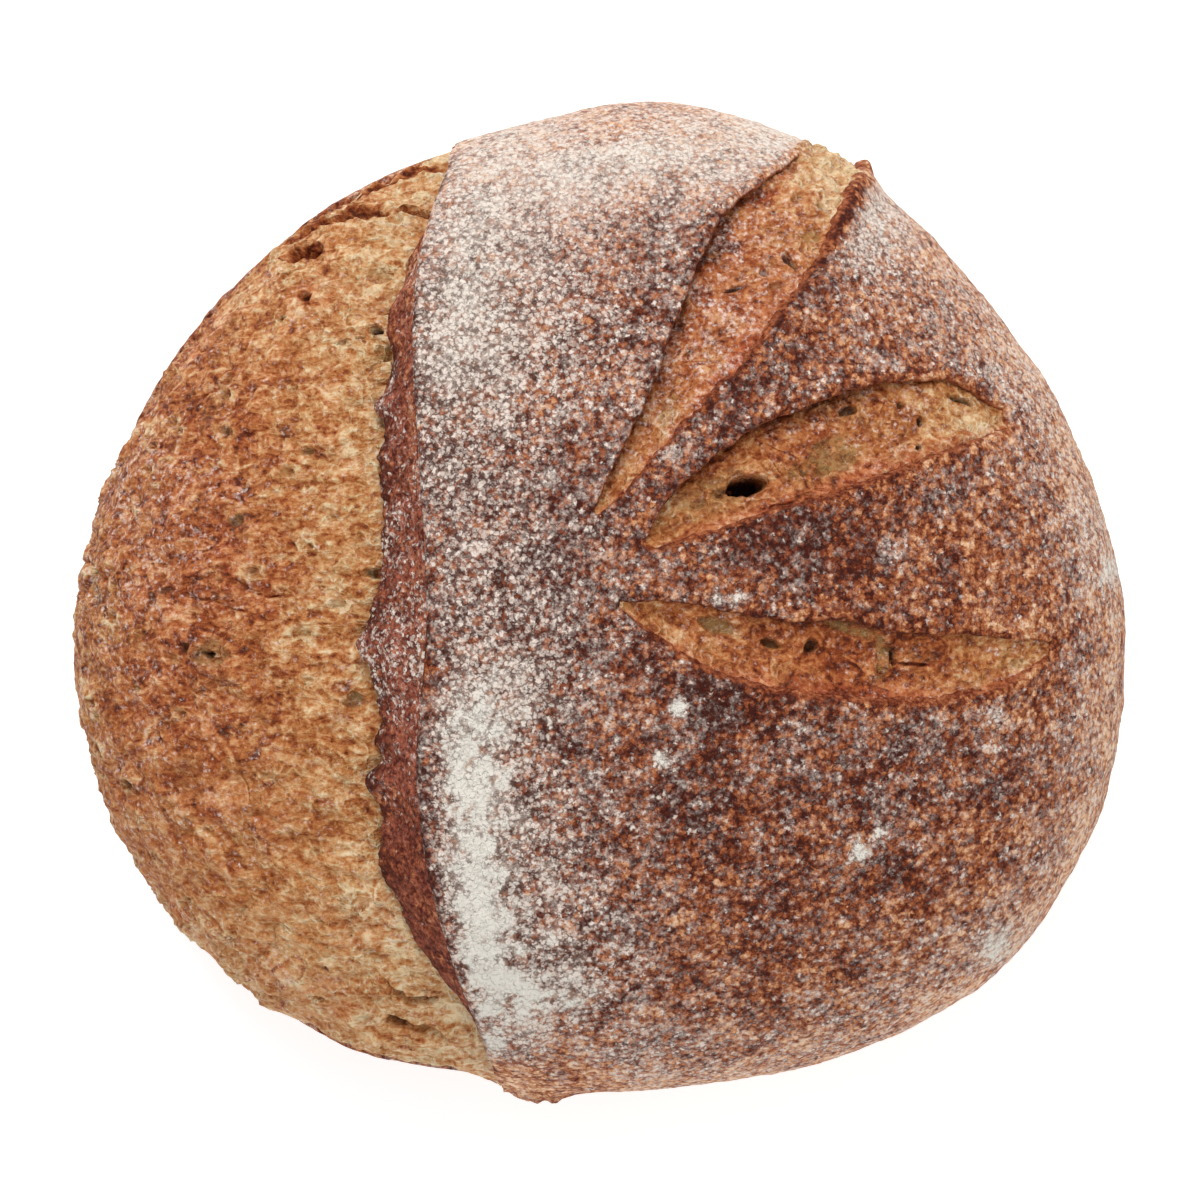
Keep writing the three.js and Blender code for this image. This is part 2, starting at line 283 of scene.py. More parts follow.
def sunk(pits: tuple[Pit, ...], flat: Array, ragged: Array) -> Hollows:
    """All pits together at plan points.

    Each is its depth times a smoothstep across its rim, which ragged shifts, inside a raised rim
    exp(-((reach - 1.4)/0.3)²) that grows with its depth.

    Args:
        pits: The pits.
        flat: Plan points, (..., 2).
        ragged: Shift of the rims as a share of the pits' size, (...).

    Returns:
        The hollows.
    """
    depth, rim, dark, olive, rust = (np.zeros(flat.shape[:-1]) for _ in range(5))
    for pit in pits:
        reach = pit.reach(flat) + ragged
        depth = depth + pit.depth * smoothstep(1.15, 0.75, reach)
        rim = np.maximum(rim, min(pit.depth / 5, 0.7) * bell((reach - 1.4) / 0.3))
        # A pit's dark bottom is painted shade.
        dark = np.maximum(dark, pit.dark * smoothstep(1.05, 0.7, reach))
        olive = np.maximum(olive, pit.olive * smoothstep(1.25, 0.6, reach))
        rust = np.maximum(rust, pit.rust * smoothstep(1.5, 0.9, reach))
    return Hollows(depth, rim, dark, olive, rust)


@dataclass(frozen=True)
class Lips:
    """What a cut does to the crust beside it, at plan points.

    height is how far its lips rise and trough how deep the crust sinks under the cut's own pieces, in
    millimetres. sharp is how close a sharp edge is and torn how close a torn one is, 0 to 1.
    """

    height: Array
    trough: Array
    sharp: Array
    torn: Array


@dataclass(frozen=True)
class Cut:
    """A leaf-shaped cut in the crust, from its tip along its axis.

    left and right are offsets of its edges from the axis at equal steps, positive to the left. step is
    how far the crumb lies under the left edge and rise how far under the right one. belly is how much
    deeper it is between them, and lean, above 1, moves its deepest line to the left. left_lip, right_lip
    and end_lip are how high the crust stands along its edges and round its end. heal, 0 to 1, is how far
    it fills up again towards its end. under is how far the left lip hangs over it, and right_run how far
    the right one slopes into it, with right_face of it torn. pale, toast and dust are marks of its crumb
    at equal steps.
    """

    name: str
    tip: Place
    angle: float
    length: float
    left: Values
    right: Values
    step: float
    rise: float
    belly: float
    lean: float
    left_lip: float
    right_lip: float
    end_lip: float
    heal: float
    under: float
    right_run: float
    right_face: float
    pale: Values
    toast: Values
    # dust sets how much of the crumb carries white flecks, partly flour and partly painted highlights.
    dust: Values
    pits: tuple[Pit, ...]
    lip_reach: float = 5.0
    lip_margin: float = 0.03
    trough: float = 13.0

    def local(self, flat: Array) -> tuple[Array, Array]:
        """Share of the length and offset from the axis of plan points (..., 2)."""
        along, aside = turned(flat, self.tip, self.angle)
        return along / self.length, aside

    def plan(self, share: Array, aside: Array) -> Array:
        """Plan points (..., 2) at a share of the length and an offset from the axis."""
        x, y = turned(np.stack([share * self.length, aside], axis=-1), (0, 0), -self.angle)
        return np.stack([x + self.tip[0], y + self.tip[1]], axis=-1)

    def edges(self, share: Array) -> tuple[Array, Array]:
        """The two edges, as smooth curves with small tears of 6 and 2.2 mm.

        Args:
            share: Shares of the length.

        Returns:
            Offsets of the left and of the right edge from the axis.
        """
        share = np.clip(share, 0, 1)
        left = evenly(self.left, share)
        right = evenly(self.right, share)
        ragged = np.minimum(0.11 * (left - right), 1)
        along = share * self.length
        at = np.stack([along, np.full_like(along, self.angle), np.zeros_like(along)], axis=-1)
        left = left + ragged * relief(at, 11, (0.55, 6), (0.35, 2.2))
        return left, right + ragged * relief(at, 13, (0.6, 6), (0.4, 2.2))

    def across(self, share: Array, aside: Array) -> Array:
        """How far an offset lies from the right edge, 0, to the left one, 1."""
        left, right = self.edges(share)
        return np.clip((aside - right) / np.maximum(left - right, 0.3), 0, 1)

    def healed(self, share: Array, start: float = 0.5, end: float = 0.8) -> Array:
        """How far it has filled up, from 0 at the start share of its length to heal at the end share."""
        return self.heal * smoothstep(start, end, share)

    def near_end(self, share: Array) -> Array:
        """Rises towards the far end of the cut, to a peak at 0.9 of its length."""
        slow = 0.45 * smoothstep(0.5, 0.8, share) * smoothstep(0, 0.2, 1.04 - share)
        return slow + bell((share - 0.9) / 0.035)

    def lips(self, flat: Array) -> Lips:
        """How the crust rises beside the cut, as lip·exp(-(distance/reach)²) outside each edge.

        Args:
            flat: Plan points, (..., 2).

        Returns:
            The lips and the trough between them.
        """
        share, aside = self.local(flat)
        left, right = self.edges(share)
        fade = np.sqrt(np.maximum(np.sin(np.pi * np.clip(share, 0, 1)), 0))
        healed = self.healed(share)
        beyond = smoothstep(-self.lip_margin, 0, share) * smoothstep(-self.lip_margin, 0, 1 - share)
        left_height = self.left_lip * fade * (1 - 0.6 * healed)
        left_height = left_height * bell(np.maximum(aside - left, 0) / self.lip_reach)
        right_height = self.right_lip * fade + self.end_lip * self.near_end(share)
        right_height = right_height * bell(np.maximum(right - aside, 0) / self.lip_reach)
        height = np.where(aside > (left + right) / 2, left_height, right_height)
        deep = np.minimum(self.trough, 0.8 * (left - right + 2))
        wall = smoothstep(-1.6, -0.2, left - aside) * smoothstep(-1.6, -0.2, aside - right)
        ends = smoothstep(0, 0.015, share) * smoothstep(0, 0.015, 1 - share)
        gap = np.minimum(np.abs(aside - left), np.abs(aside - right))
        grain = 1.2 * lumps(np.stack([aside, share * self.length, 0 * share], -1), 3, 15)
        sharp = bell(gap / 1.5) * fade * (1 - healed)
        torn = bell((gap + grain) / 1.8) * healed
        return Lips(height * beyond, deep * wall * ends, sharp * beyond, torn * beyond)

    def crumb_depth(self, share: Array, aside: Array) -> Array:
        """How far the torn crumb lies under the bare crust.

        It runs from step at the left edge to rise at the right one, with a belly sin(π·across^lean)
        deeper between them, all shrinking with the cut's width towards its ends.

        Args:
            share: Shares of the length.
            aside: Offsets from the axis.

        Returns:
            Depths in millimetres.
        """
        left, right = self.edges(share)
        across = self.across(share, aside)
        size = smoothstep(0, 9, left - right) * (1 - self.healed(share, 0.55, 0.85))
        ramp = self.rise + (self.step - self.rise) * across**2
        return size * (ramp + self.belly * np.sin(np.pi * across**self.lean)) + 0.5 * (1 - size)


@dataclass(frozen=True)
class Spread:
    """Places on the bare loaf: rows, columns, points, normals and plan points developed down the wall."""

    row: Array
    column: Array
    point: Array
    normal: Array
    flat: Array

    @property
    def x(self) -> Array:
        """How far right the places lie on the plan."""
        return self.flat[..., 0]

    @property
    def y(self) -> Array:
        """How far up the plan they lie."""
        return self.flat[..., 1]

    @property
    def z(self) -> Array:
        """Their height over the base."""
        return self.point[..., 2]

    @property
    def calm(self) -> Array:
        """1 over most of the loaf, falling to 0 at the slash's two ends, where all columns meet."""
        return np.clip(np.sin(self.row) * 4, 0, 1)


@dataclass(frozen=True)
class LoafForm:
    """The bare loaf and the lines that divide it, in millimetres on its own grid of rows and columns."""

    height: float = 92.0
    shoulder: float = 32.0
    roundness: float = 2.2
    base_share: float = 0.8
    base_elevation: float = math.pi / 4
    centre: Place = (0.35, -1.41)
    radii: Values = (
        118.1, 113.5, 110.6, 112.8, 113.3, 107.3, 107.6, 109, 113, 118.6, 121, 120.4, 116.3, 109.5, 110.8,
        116.9, 123.6, 122.2,
    )
    north: float = math.radians(106.5)
    south: float = math.radians(259.5)
    ear_edge: tuple[Place, ...] = (
        (-32.3, 91.6), (-34.5, 85.6), (-35.8, 80.9), (-37.4, 74.1), (-38.4, 64.1), (-38.7, 53.1),
        (-38.3, 42.3), (-37.1, 25.3), (-36, 8.4), (-35.7, -4.2), (-36.6, -16.8), (-37.9, -31.6),
        (-37.6, -42.2), (-36, -55.1), (-33, -68.2), (-29, -81.6), (-26.6, -88.5), (-23.2, -99.5),
    )
    ear_foot: tuple[Place, ...] = (
        (-33.6, 91.6), (-37.8, 82.4), (-40.1, 79.1), (-42.4, 76.4), (-43.8, 70.5), (-46.3, 65.1),
        (-47.1, 61), (-46.6, 57.2), (-45.6, 53.9), (-46.2, 48), (-47.4, 45.4), (-49.6, 43.4), (-49.8, 41.3),
        (-48, 39.1), (-47.2, 37), (-47.7, 34.3), (-48.8, 31.1), (-48.4, 27.8), (-47.5, 21.4), (-47.9, 15),
        (-47.4, 8.5), (-48.6, 3.2), (-50.2, 0), (-51.4, -5.3), (-52.2, -10.7), (-50.6, -13.9),
        (-49.1, -18.2), (-48.2, -23), (-49.2, -28.9), (-48.8, -32.1), (-47.5, -34.7), (-50.4, -37.8),
        (-51, -40.8), (-48.9, -43.2), (-47.2, -46), (-48.2, -53.4), (-48.3, -58.2), (-47.1, -62.6),
        (-44.9, -65.5), (-43.3, -70.4), (-41.2, -74.8), (-39.1, -78.2), (-36.4, -82.4), (-34.5, -85.1),
        (-31.7, -88.6), (-29, -92.5), (-24.2, -99.5),
    )
    bloom_rim: tuple[Place, ...] = (
        (115, 43), (130, 40), (145, 37), (160, 31), (180, 25), (205, 24), (222, 28), (235, 33), (248, 38),
    )
    half_width: float = 118.0
    ear_lift: float = 6.5
    ear_reach: float = 42.0
    ear_drop: float = 5.0
    bloom_sink: float = 8.5
    bloom_swell: float = 2.5
    rim_ledge: float = 1.6
    tip_azimuth: float = math.radians(262)
    tip_height: float = 33.0
    tip_reach: float = 9.0
    tip_stand: float = 4.5

    def outline(self, azimuth: Array) -> Array:
        """Radius of the widest line, a smooth closed curve through the radii.

        Args:
            azimuth: Angles round the loaf in radians.

        Returns:
            Radii in millimetres.
        """
        n = len(self.radii)
        around = np.arange(-2, n + 3)
        return through(around * (360 / n), np.array(self.radii)[around % n], np.mod(np.degrees(azimuth), 360))

    def bare(self, azimuth: Array, elevation: Array) -> tuple[Array, Array]:
        """The smooth loaf without slash or cuts.

        Above the shoulder it is a superellipse, radius·cos(e)^(2/n) out and dome·sin(e)^(2/n) up. Under it
        a quarter ellipse runs in to the base's edge, and the base is flat.

        Args:
            azimuth: Angles round the loaf in radians.
            elevation: Angles from the widest line, up to the top and down to the base's middle.

        Returns:
            The points and the unit normals, (..., 3) each.
        """
        n = self.roundness
        inset = 1 - self.base_share
        radius = self.outline(azimuth)
        rise = np.maximum(np.sin(elevation), 0) ** (2 / n)
        share = np.maximum(np.cos(elevation), 0) ** (2 / n)
        dome = self.height - self.shoulder
        turn = np.clip(-elevation / self.base_elevation, 0, 1) * (math.pi / 2)
        flat = self.base_share * (math.pi / 2 + elevation) / (math.pi / 2 - self.base_elevation)
        parts = [elevation >= 0, elevation <= -self.base_elevation]
        out = radius * np.select(parts, [share, flat], self.base_share + inset * np.cos(turn))
        z = np.select(parts, [self.shoulder + dome * rise, 0], self.shoulder * (1 - np.sin(turn)))
        outward = np.select(parts, [share ** (n - 1) / radius, 0], np.cos(turn) / (inset * radius))
        upward = np.select(parts, [rise ** (n - 1) / dome, -1], -np.sin(turn) / self.shoulder)
        point = np.stack([out * np.cos(azimuth), out * np.sin(azimuth), z], axis=-1)
        normal = np.stack([outward * np.cos(azimuth), outward * np.sin(azimuth), upward], axis=-1)
        return point, normal / np.linalg.norm(normal, axis=-1, keepdims=True)

    def angles_of(self, row: Array, column: Array) -> tuple[Array, Array]:
        """Angles of places on the grid, which is laid over a sphere whose poles are the slash's ends.

        On the sphere y is -cos(row), and x and z are cos(column) and sin(column) times sin(row). Each half
        of its turn is stretched evenly over the loaf's azimuths on that side of the slash.

        Args:
            row: Rows.
            column: Columns.

        Returns:
            Azimuths and elevations in radians.
        """
        side = np.arctan2(-np.cos(row), np.cos(column) * np.sin(row))
        elevation = np.arcsin(np.clip(np.sin(column) * np.sin(row), -1, 1))
        span = self.south - self.north
        right = self.south - 2 * np.pi + (2 * np.pi - span) * (side / np.pi + 0.5)
        left = self.north + span * (np.where(side < 0, side + 2 * np.pi, side) - np.pi / 2) / np.pi
        return np.where(np.abs(side) <= np.pi / 2, right, left), elevation

    def grid_of(self, azimuth: Array, elevation: Array) -> tuple[Array, Array]:
        """Places on the grid at given angles, the inverse of angles_of.

        Args:
            azimuth: Angles round the loaf in radians.
            elevation: Angles from the widest line.

        Returns:
            Rows and columns.
        """
        span = self.south - self.north
        turn = np.mod(azimuth - self.north, 2 * np.pi)
        left = np.pi / 2 + turn / span * np.pi
        right = 1.5 * np.pi + (turn - span) / (2 * np.pi - span) * np.pi
        side = np.where(turn <= span, left, right)
        row = np.arccos(-np.cos(elevation) * np.sin(side))
        return row, np.arctan2(np.sin(elevation), np.cos(elevation) * np.cos(side))

    def elevation_of_plan(self, flat: Array) -> tuple[Array, Array]:
        """Angles of the places above plan points, by the superellipse turned round.

        Args:
            flat: Plan points, (..., 2).

        Returns:
            Azimuths and elevations in radians.
        """
        azimuth = np.arctan2(flat[..., 1], flat[..., 0])
        radius = self.outline(azimuth)
        share = np.linalg.norm(flat, axis=-1) / radius
        over = np.arccos(np.minimum(share, 1) ** (self.roundness / 2))
        below = np.maximum(share - 1, 0) * radius / self.shoulder
        under = -np.arcsin(np.minimum(below, 1)) / (np.pi / 2) * self.base_elevation
        return azimuth, np.where(share <= 1, over, under)

    def line_on_plan(self, points: tuple[Place, ...]) -> tuple[Array, Array]:
        """A line over the dome, on the grid.

        Args:
            points: Its plan points.

        Returns:
            Rows and columns, sorted by row.
        """
        row, column = self.grid_of(*self.elevation_of_plan(np.array(points)))
        order = np.argsort(row)
        return row[order], column[order]

    def line_on_wall(self, points: tuple[Place, ...]) -> tuple[Array, Array]:
        """A line round the left wall, on the grid.

        Args:
            points: Its azimuths in degrees and heights.

        Returns:
            Rows and columns, sorted by row.
        """
        azimuth, height = np.array(points, float).T
        rise = np.clip((height - self.shoulder) / (self.height - self.shoulder), 0, 1)
        turn = np.arcsin(np.clip(1 - height / self.shoulder, 0, 1))
        over = np.arcsin(rise ** (self.roundness / 2))
        elevation = np.where(height >= self.shoulder, over, -turn / (np.pi / 2) * self.base_elevation)
        row, column = self.grid_of(np.radians(azimuth), elevation)
        order = np.argsort(row)
        return row[order], np.where(column < 0, column + 2 * np.pi, column)[order]

    def strength(self, row: Array) -> Array:
        """How strongly the slash is open at a row, sin(row)^0.7."""
        return np.maximum(np.sin(row), 0) ** 0.7

    def reach(self, flat: Array) -> Array:
        """How far out plan points (..., 2) lie, 1 on the widest line."""
        return np.linalg.norm(flat, axis=-1) / self.outline(np.arctan2(flat[..., 1], flat[..., 0]))

    def spread(self, row: Array, column: Array) -> Spread:
        """The bare surface at places on the grid.

        Their plan points keep running outwards down the wall under the widest line.

        Args:
            row: Rows.
            column: Columns.

        Returns:
            The places.
        """
        row = np.broadcast_to(row, column.shape)
        azimuth, elevation = self.angles_of(row, column)
        point, normal = self.bare(azimuth, elevation)
        radius = self.outline(azimuth) + np.maximum(self.shoulder - point[..., 2], 0)
        wall = np.stack([np.cos(azimuth), np.sin(azimuth)], axis=-1) * radius[..., None]
        return Spread(row, column, point, normal, np.where((elevation < 0)[..., None], wall, point[..., :2]))

    def spread_plan(self, flat: Array) -> Spread:
        """The bare surface above plan points (..., 2)."""
        azimuth, elevation = self.elevation_of_plan(flat)
        return Spread(*self.grid_of(azimuth, elevation), *self.bare(azimuth, elevation), flat)

    def horn(self, point: Array) -> Array:
        """How far the torn tip at the ear's near end sticks out.

        Args:
            point: Points of the bare loaf, (..., 3).

        Returns:
            Heights in millimetres.
        """
        at, _ = self.bare(np.array(self.tip_azimuth), np.array(0.0))
        away = np.linalg.norm(point - np.array([at[0], at[1], self.tip_height]), axis=-1)
        return bell(away / self.tip_reach) * (self.tip_stand + relief(point, 121, (1.6, 4), (1.3, 1.8)))


CUTS = (
    Cut(
        "upper", (-1.3, 17.7), 56.2, 116,
        (0.6, 2.6, 4, 6.5, 9.5, 12, 13, 10.5, 7.3, 4.5, 0.5),
        (-0.6, -3.8, -5, -7, -9, -9.5, -10, -8.5, -7, -5.5, -0.5),
        step=4.2, rise=0.5, belly=1, lean=1.5, left_lip=1.4, right_lip=0.5, end_lip=3.6, heal=0.9,
        under=1.3, right_run=1.7, right_face=0.7,
        pale=(0.9, 0.9, 0.4, 0.15, 0.5, 1.8, 2.3), toast=(0.1, 0.2, 0.35, 0.4, 0.25, 0, 0),
        dust=(0.1, 0.3, 0.36, 0.32, 0.28, 0.12, 0),
        pits=(
            Pit(41.1, 73.3, 2.4, 0.8, -50, 1.8, 0.8), Pit(29, 67.5, 2, 0.5, 15, 1.3, 0.9),
            Pit(38.1, 67.6, 2, 0.8, 10, 1, 0.3), Pit(35.4, 70.9, 0.9, 0.7, 0, 0.8, 0.5),
            Pit(48.7, 85.7, 2.2, 0.7, -30, 0.9, 0.3, 0.6), Pit(46, 79, 2.4, 1.6, 20, 0.6, 0, 0.6),
            Pit(36, 88.5, 3.2, 0.9, 25, 1, 0, 0, 0.6), Pit(41.4, 94, 2.6, 0.9, 30, 0.6, 0, 0, 0.4),
            Pit(43.5, 88, 1.3, 1, 0, 0.7, 0, 0.7), Pit(19.5, 54, 1.2, 0.9, 30, 0.6, 0.2),
            Pit(14.5, 40.5, 3.8, 1.9, 62, 0.5, 0, 0.7),
        ),
    ),
    Cut(
        "middle", (9.3, 11), 18.8, 85.2,
        (1, 8.7, 12.4, 15.4, 17.1, 17.6, 18, 17.6, 15.4, 12.3, 3.4),
        (-0.7, -1.8, -2.2, -2.1, -2.1, -2.6, -2.5, -2.2, -2, -1.5, -0.7),
        step=3.6, rise=0.8, belly=0.9, lean=1, left_lip=1.2, right_lip=1.1, end_lip=0, heal=0.6,
        under=1, right_run=1.2, right_face=0.7,
        pale=(0.5, 0.4, 0.12, 0, 0.28, 0.9, 1.2), toast=(0, 0.1, 0.15, 0.2, 0.15, 0, 0),
        dust=(0, 0.05, 0.1, 0.1, 0.18, 0.15, 0.1),
        pits=(
            Pit(31.4, 24.4, 4.2, 2.1, 8, 9, 1), Pit(54, 41.2, 2.2, 1.1, 5, 2, 0.7, 0.6),
            Pit(69.7, 38.8, 0.9, 1.1, 0, 1.5, 0.9), Pit(68.9, 32.9, 0.6, 0.6, 0, 1.2, 0.9),
            Pit(65.5, 42.3, 0.9, 0.7, 0, 1, 0.6), Pit(79.7, 43.6, 3.4, 0.7, -15, 1.4, 0.7),
            Pit(25.5, 22.7, 1.3, 1, 10, 1, 0.4, 0.9), Pit(50.5, 31.2, 6.5, 4.4, 20, 0.5, 0, 0.75),
            Pit(24, 21.5, 10, 4.5, 28, 0.2, 0, 0.5), Pit(47.5, 32.8, 2, 1.3, 20, 0.9, 0.15, 0.9),
            Pit(53.6, 30.6, 1.6, 1.1, 20, 0.8, 0.25, 0.9), Pit(48.2, 27.6, 1.8, 1, 0, 0.7, 0.1, 0.8),
            Pit(37.5, 19.8, 3.6, 0.5, 12, 0.8, 0, 0, 0.8), Pit(21, 20.4, 1.8, 1.2, 20, 0.8, 0.3, 0.8),
            Pit(42, 26.8, 3, 1.6, 25, 0.6, 0, 0.5),
        ),
    ),
    Cut(
        "lower", (3.8, -0.4), -6.3, 94.9,
        (0.4, 1.3, 1.4, 0.2, 0.4, 1.4, 0.5, 0.7, 1.3, 1.8, 2),
        (-0.8, -7.7, -12.1, -14.8, -15.7, -15.9, -15.7, -14.6, -12.4, -8.9, -1.1),
        step=1.3, rise=0.7, belly=1.9, lean=1.2, left_lip=0.3, right_lip=1.3, end_lip=0, heal=0.5,
        under=0.4, right_run=1.4, right_face=0.7,
        pale=(0.45, 0.4, 0.05, -0.3, -0.15, 0.3, 0.5), toast=(0.1, 0.2, 0.25, 0.3, 0.25, 0.1, 0),
        dust=(0.1, 0.1, 0.08, 0.06, 0.08, 0.12, 0.15),
        pits=(
            Pit(24.9, -5.5, 4.2, 1.7, -15, 1.2, 0.2, 1), Pit(36.2, -9.3, 2.4, 1, -22, 1.8, 0.6, 0.5),
            Pit(45.2, -10, 1.5, 1.5, 0, 2.2, 0.85, 0.4), Pit(53, -6, 7.5, 1.2, -19, 0.7, 0, 0.8),
            Pit(61.6, -12.4, 5, 1.6, -90, 1, 0.05, 1, 0, -2), Pit(63.4, -12.4, 2, 0.6, -85, 2, 0.9),
            Pit(67.6, -13.9, 3.8, 0.4, -4, 1, 0.5, 0, 1), Pit(91.2, -13.8, 1.8, 1.2, 0, 0.6, 0, 0.7),
        ),
    ),
)

BLOOM_PITS = (
    Pit(-58.7, 84.3, 10.4, 1.3, 15, 3.4, 0.1, 0, 0.8, -1.2), Pit(-50.8, 85.3, 3.4, 0.9, 8, 1.6, 0.6),
    Pit(-65.6, 77, 4.8, 1.4, 12, 3.2, 0.1, 0, 0.9), Pit(-64, 77.4, 2.6, 0.9, 12, 1.6, 0.6),
    Pit(-41.4, 87, 4.4, 0.8, 1, 2.6, 0.6, 0, 0.6), Pit(-41.6, 95.4, 10.5, 0.9, 21, 2.2, 0.2, 0, 0.9, -1),
    Pit(-42.4, -90, 6.4, 1, -19, 2.2, 0.4, 0.4, 0.3, 2.2),
    Pit(-41, -96.6, 7.2, 0.9, -19, 1.6, 0.1, 0.5, 0.3), Pit(-45.7, -94.9, 2.4, 0.9, -12, 2.6, 1),
    Pit(-57.5, 57.3, 1.6, 0.5, 30, 1.2, 0.6), Pit(-64.9, 66.6, 1.3, 0.9, 20, 2, 0.9, 0, 0.5),
    Pit(-50.5, 60.7, 1.7, 1.1, -5, 2.4, 1), Pit(-70.4, 62.3, 0.7, 0.5, 0, 1.2, 0.8),
    Pit(-53.8, 58.8, 1.5, 0.4, 20, 1.2, 0.8), Pit(-61, -81.8, 0.8, 0.7, 0, 1.2, 0.8),
    Pit(-35.3, -83.3, 0.8, 0.7, 0, 1.4, 1), Pit(-47.8, 55.8, 2.3, 1.7, 20, 0.9, 0.2, 0.9),
    Pit(-49.9, 72.6, 2.4, 1.6, 0, 0.8, 0.1, 0.6), Pit(-49.8, 5.9, 1.9, 1.3, -5, 1.6, 0.6, 0.9),
    Pit(-54.2, -22.3, 2.6, 2, 30, 1.2, 0.45, 0.9), Pit(-84.9, -11.8, 4.2, 2.6, 0, 1, 0.1, 0.9),
    Pit(-85.8, -11.9, 1.5, 0.9, 10, 1.8, 1), Pit(-90.5, -10.2, 1.3, 0.8, 50, 1.2, 0.8),
    Pit(-111.3, 2.2, 1.6, 3.6, 10, 0.9, 0.1, 0.6), Pit(-79.5, 17.2, 1.8, 1.3, 30, 1.1, 0.6, 0.7),
    Pit(-65, 33, 1.5, 1, 10, 0.9, 0.5, 0.5),
)


# ---------------------------------------------------------------- meshes


class Side(Enum):
    """The two edges of a cut, seen from its tip."""

    LEFT = "left"
    RIGHT = "right"


def skin(
    name: str, rings: Array, ends: tuple[Array, Array], marks: dict[str, Array], lead: int
) -> bpy.types.Mesh:
    """Closed mesh from rings of points, with a fan to one point at each end.

    Args:
        name: Its name.
        rings: Points in millimetres, (rings, points round, 3).
        ends: The two closing points, (3,) each.
        marks: Vertex attributes by name, (rings, points round) each or fewer round, with their first and
            last values carried on.
        lead: How many points round come before the marks' first ones.

    Returns:
        The mesh, smooth-shaded and in metres.
    """
    count, around, _ = rings.shape
    points = np.concatenate([rings.reshape(-1, 3), np.stack(ends)])
    r, c = np.meshgrid(np.arange(count - 1), np.arange(around), indexing="ij")
    after = (c + 1) % around
    quads = np.stack([r * around + c, (r + 1) * around + c, (r + 1) * around + after, r * around + after], -1)
    step = np.arange(around)
    near = np.stack([np.full(around, count * around), step, (step + 1) % around], -1)
    last = (count - 1) * around
    far = np.stack([np.full(around, count * around + 1), last + (step + 1) % around, last + step], -1)
    loops = np.concatenate([quads.ravel(), near.ravel(), far.ravel()])
    starts = np.concatenate([np.arange(quads.size // 4) * 4, quads.size + np.arange(2 * around) * 3])
    mesh = bpy.data.meshes.new(name)
    mesh.vertices.add(len(points))
    mesh.vertices.foreach_set("co", (points * MM).astype(np.float32).ravel())
    mesh.loops.add(len(loops))
    mesh.loops.foreach_set("vertex_index", loops.astype(np.int32))
    mesh.polygons.add(len(starts))
    mesh.polygons.foreach_set("loop_start", starts.astype(np.int32))
    mesh.polygons.foreach_set("use_smooth", np.ones(len(starts), bool))
    mesh.update(calc_edges=True)
    mesh.validate()
    for mark, values in marks.items():
        values = np.pad(values, ((0, 0), (lead, around - lead - values.shape[1])), mode="edge")
        whole = np.concatenate([values.ravel(), [values[0].mean(), values[-1].mean()]])
        mesh.attributes.new(mark, "FLOAT", "POINT").data.foreach_set("value", whole.astype(np.float32))
    mesh.set_sharp_from_angle(angle=SHARP_EDGE)
    return mesh


def turn_outward(mesh: bpy.types.Mesh) -> None:
    """Turns faces over if their signed volume, the sum of p0·(p1×p2)/6, is below zero.

    Args:
        mesh: The closed mesh they belong to.
    """
    mesh.calc_loop_triangles()
    co = np.empty(len(mesh.vertices) * 3, np.float32)
    mesh.vertices.foreach_get("co", co)
    tri = np.empty(len(mesh.loop_triangles) * 3, np.int32)
    mesh.loop_triangles.foreach_get("vertices", tri)
    corners = co.reshape(-1, 3)[tri.reshape(-1, 3)].astype(float)
    if np.einsum("ij,ij->", corners[:, 0], np.cross(corners[:, 1], corners[:, 2])) < 0:
        mesh.flip_normals()


# ---------------------------------------------------------------- shader maths


def operator(operation: str, swapped: bool = False) -> Callable[["Wire", object], "Wire"]:
    """An operator of Wire, which adds a Math node.

    Args:
        operation: The node's operation.
        swapped: Whether the wire is its second operand, as in 1 - wire.

    Returns:
        The method.
    """

    def method(wire: "Wire", other: object) -> "Wire":
        """Adds the Math node and returns its output."""
        first, second = (other, wire) if swapped else (wire, other)
        return wire.graph.wire("ShaderNodeMath", {"operation": operation}, {0: first, 1: second})

    return method


class Wire:
    """A node's output in an expression. Arithmetic on it adds Math nodes."""

    def __init__(self, graph: "Graph", socket: bpy.types.NodeSocket) -> None:
        """Wraps a socket of the graph."""
        self.graph = graph
        self.socket = socket

    __add__ = __radd__ = operator("ADD")
    __sub__ = operator("SUBTRACT")
    __rsub__ = operator("SUBTRACT", swapped=True)
    __mul__ = __rmul__ = operator("MULTIPLY")
    __pow__ = operator("POWER")

    def over(self, low: float, high: float) -> "Wire":
        """0 where it is under low, 1 where it is over high, smooth between."""
        sockets = {"Value": self, "From Min": low, "From Max": high}
        return self.graph.wire("ShaderNodeMapRange", {"interpolation_type": "SMOOTHSTEP"}, sockets)

    def within(self) -> "Wire":
        """Held between 0 and 1."""
        return self.graph.wire("ShaderNodeClamp", {}, {"Value": self})


def from_screen(colour: Screen) -> tuple[float, float, float, float]:
    """Linear colour of a screen colour in 0 to 255, by the sRGB curve, with alpha 1."""
    shares = (c / 255 for c in colour)
    return (*(v / 12.92 if v <= 0.04045 else ((v + 0.055) / 1.055) ** 2.4 for v in shares), 1.0)


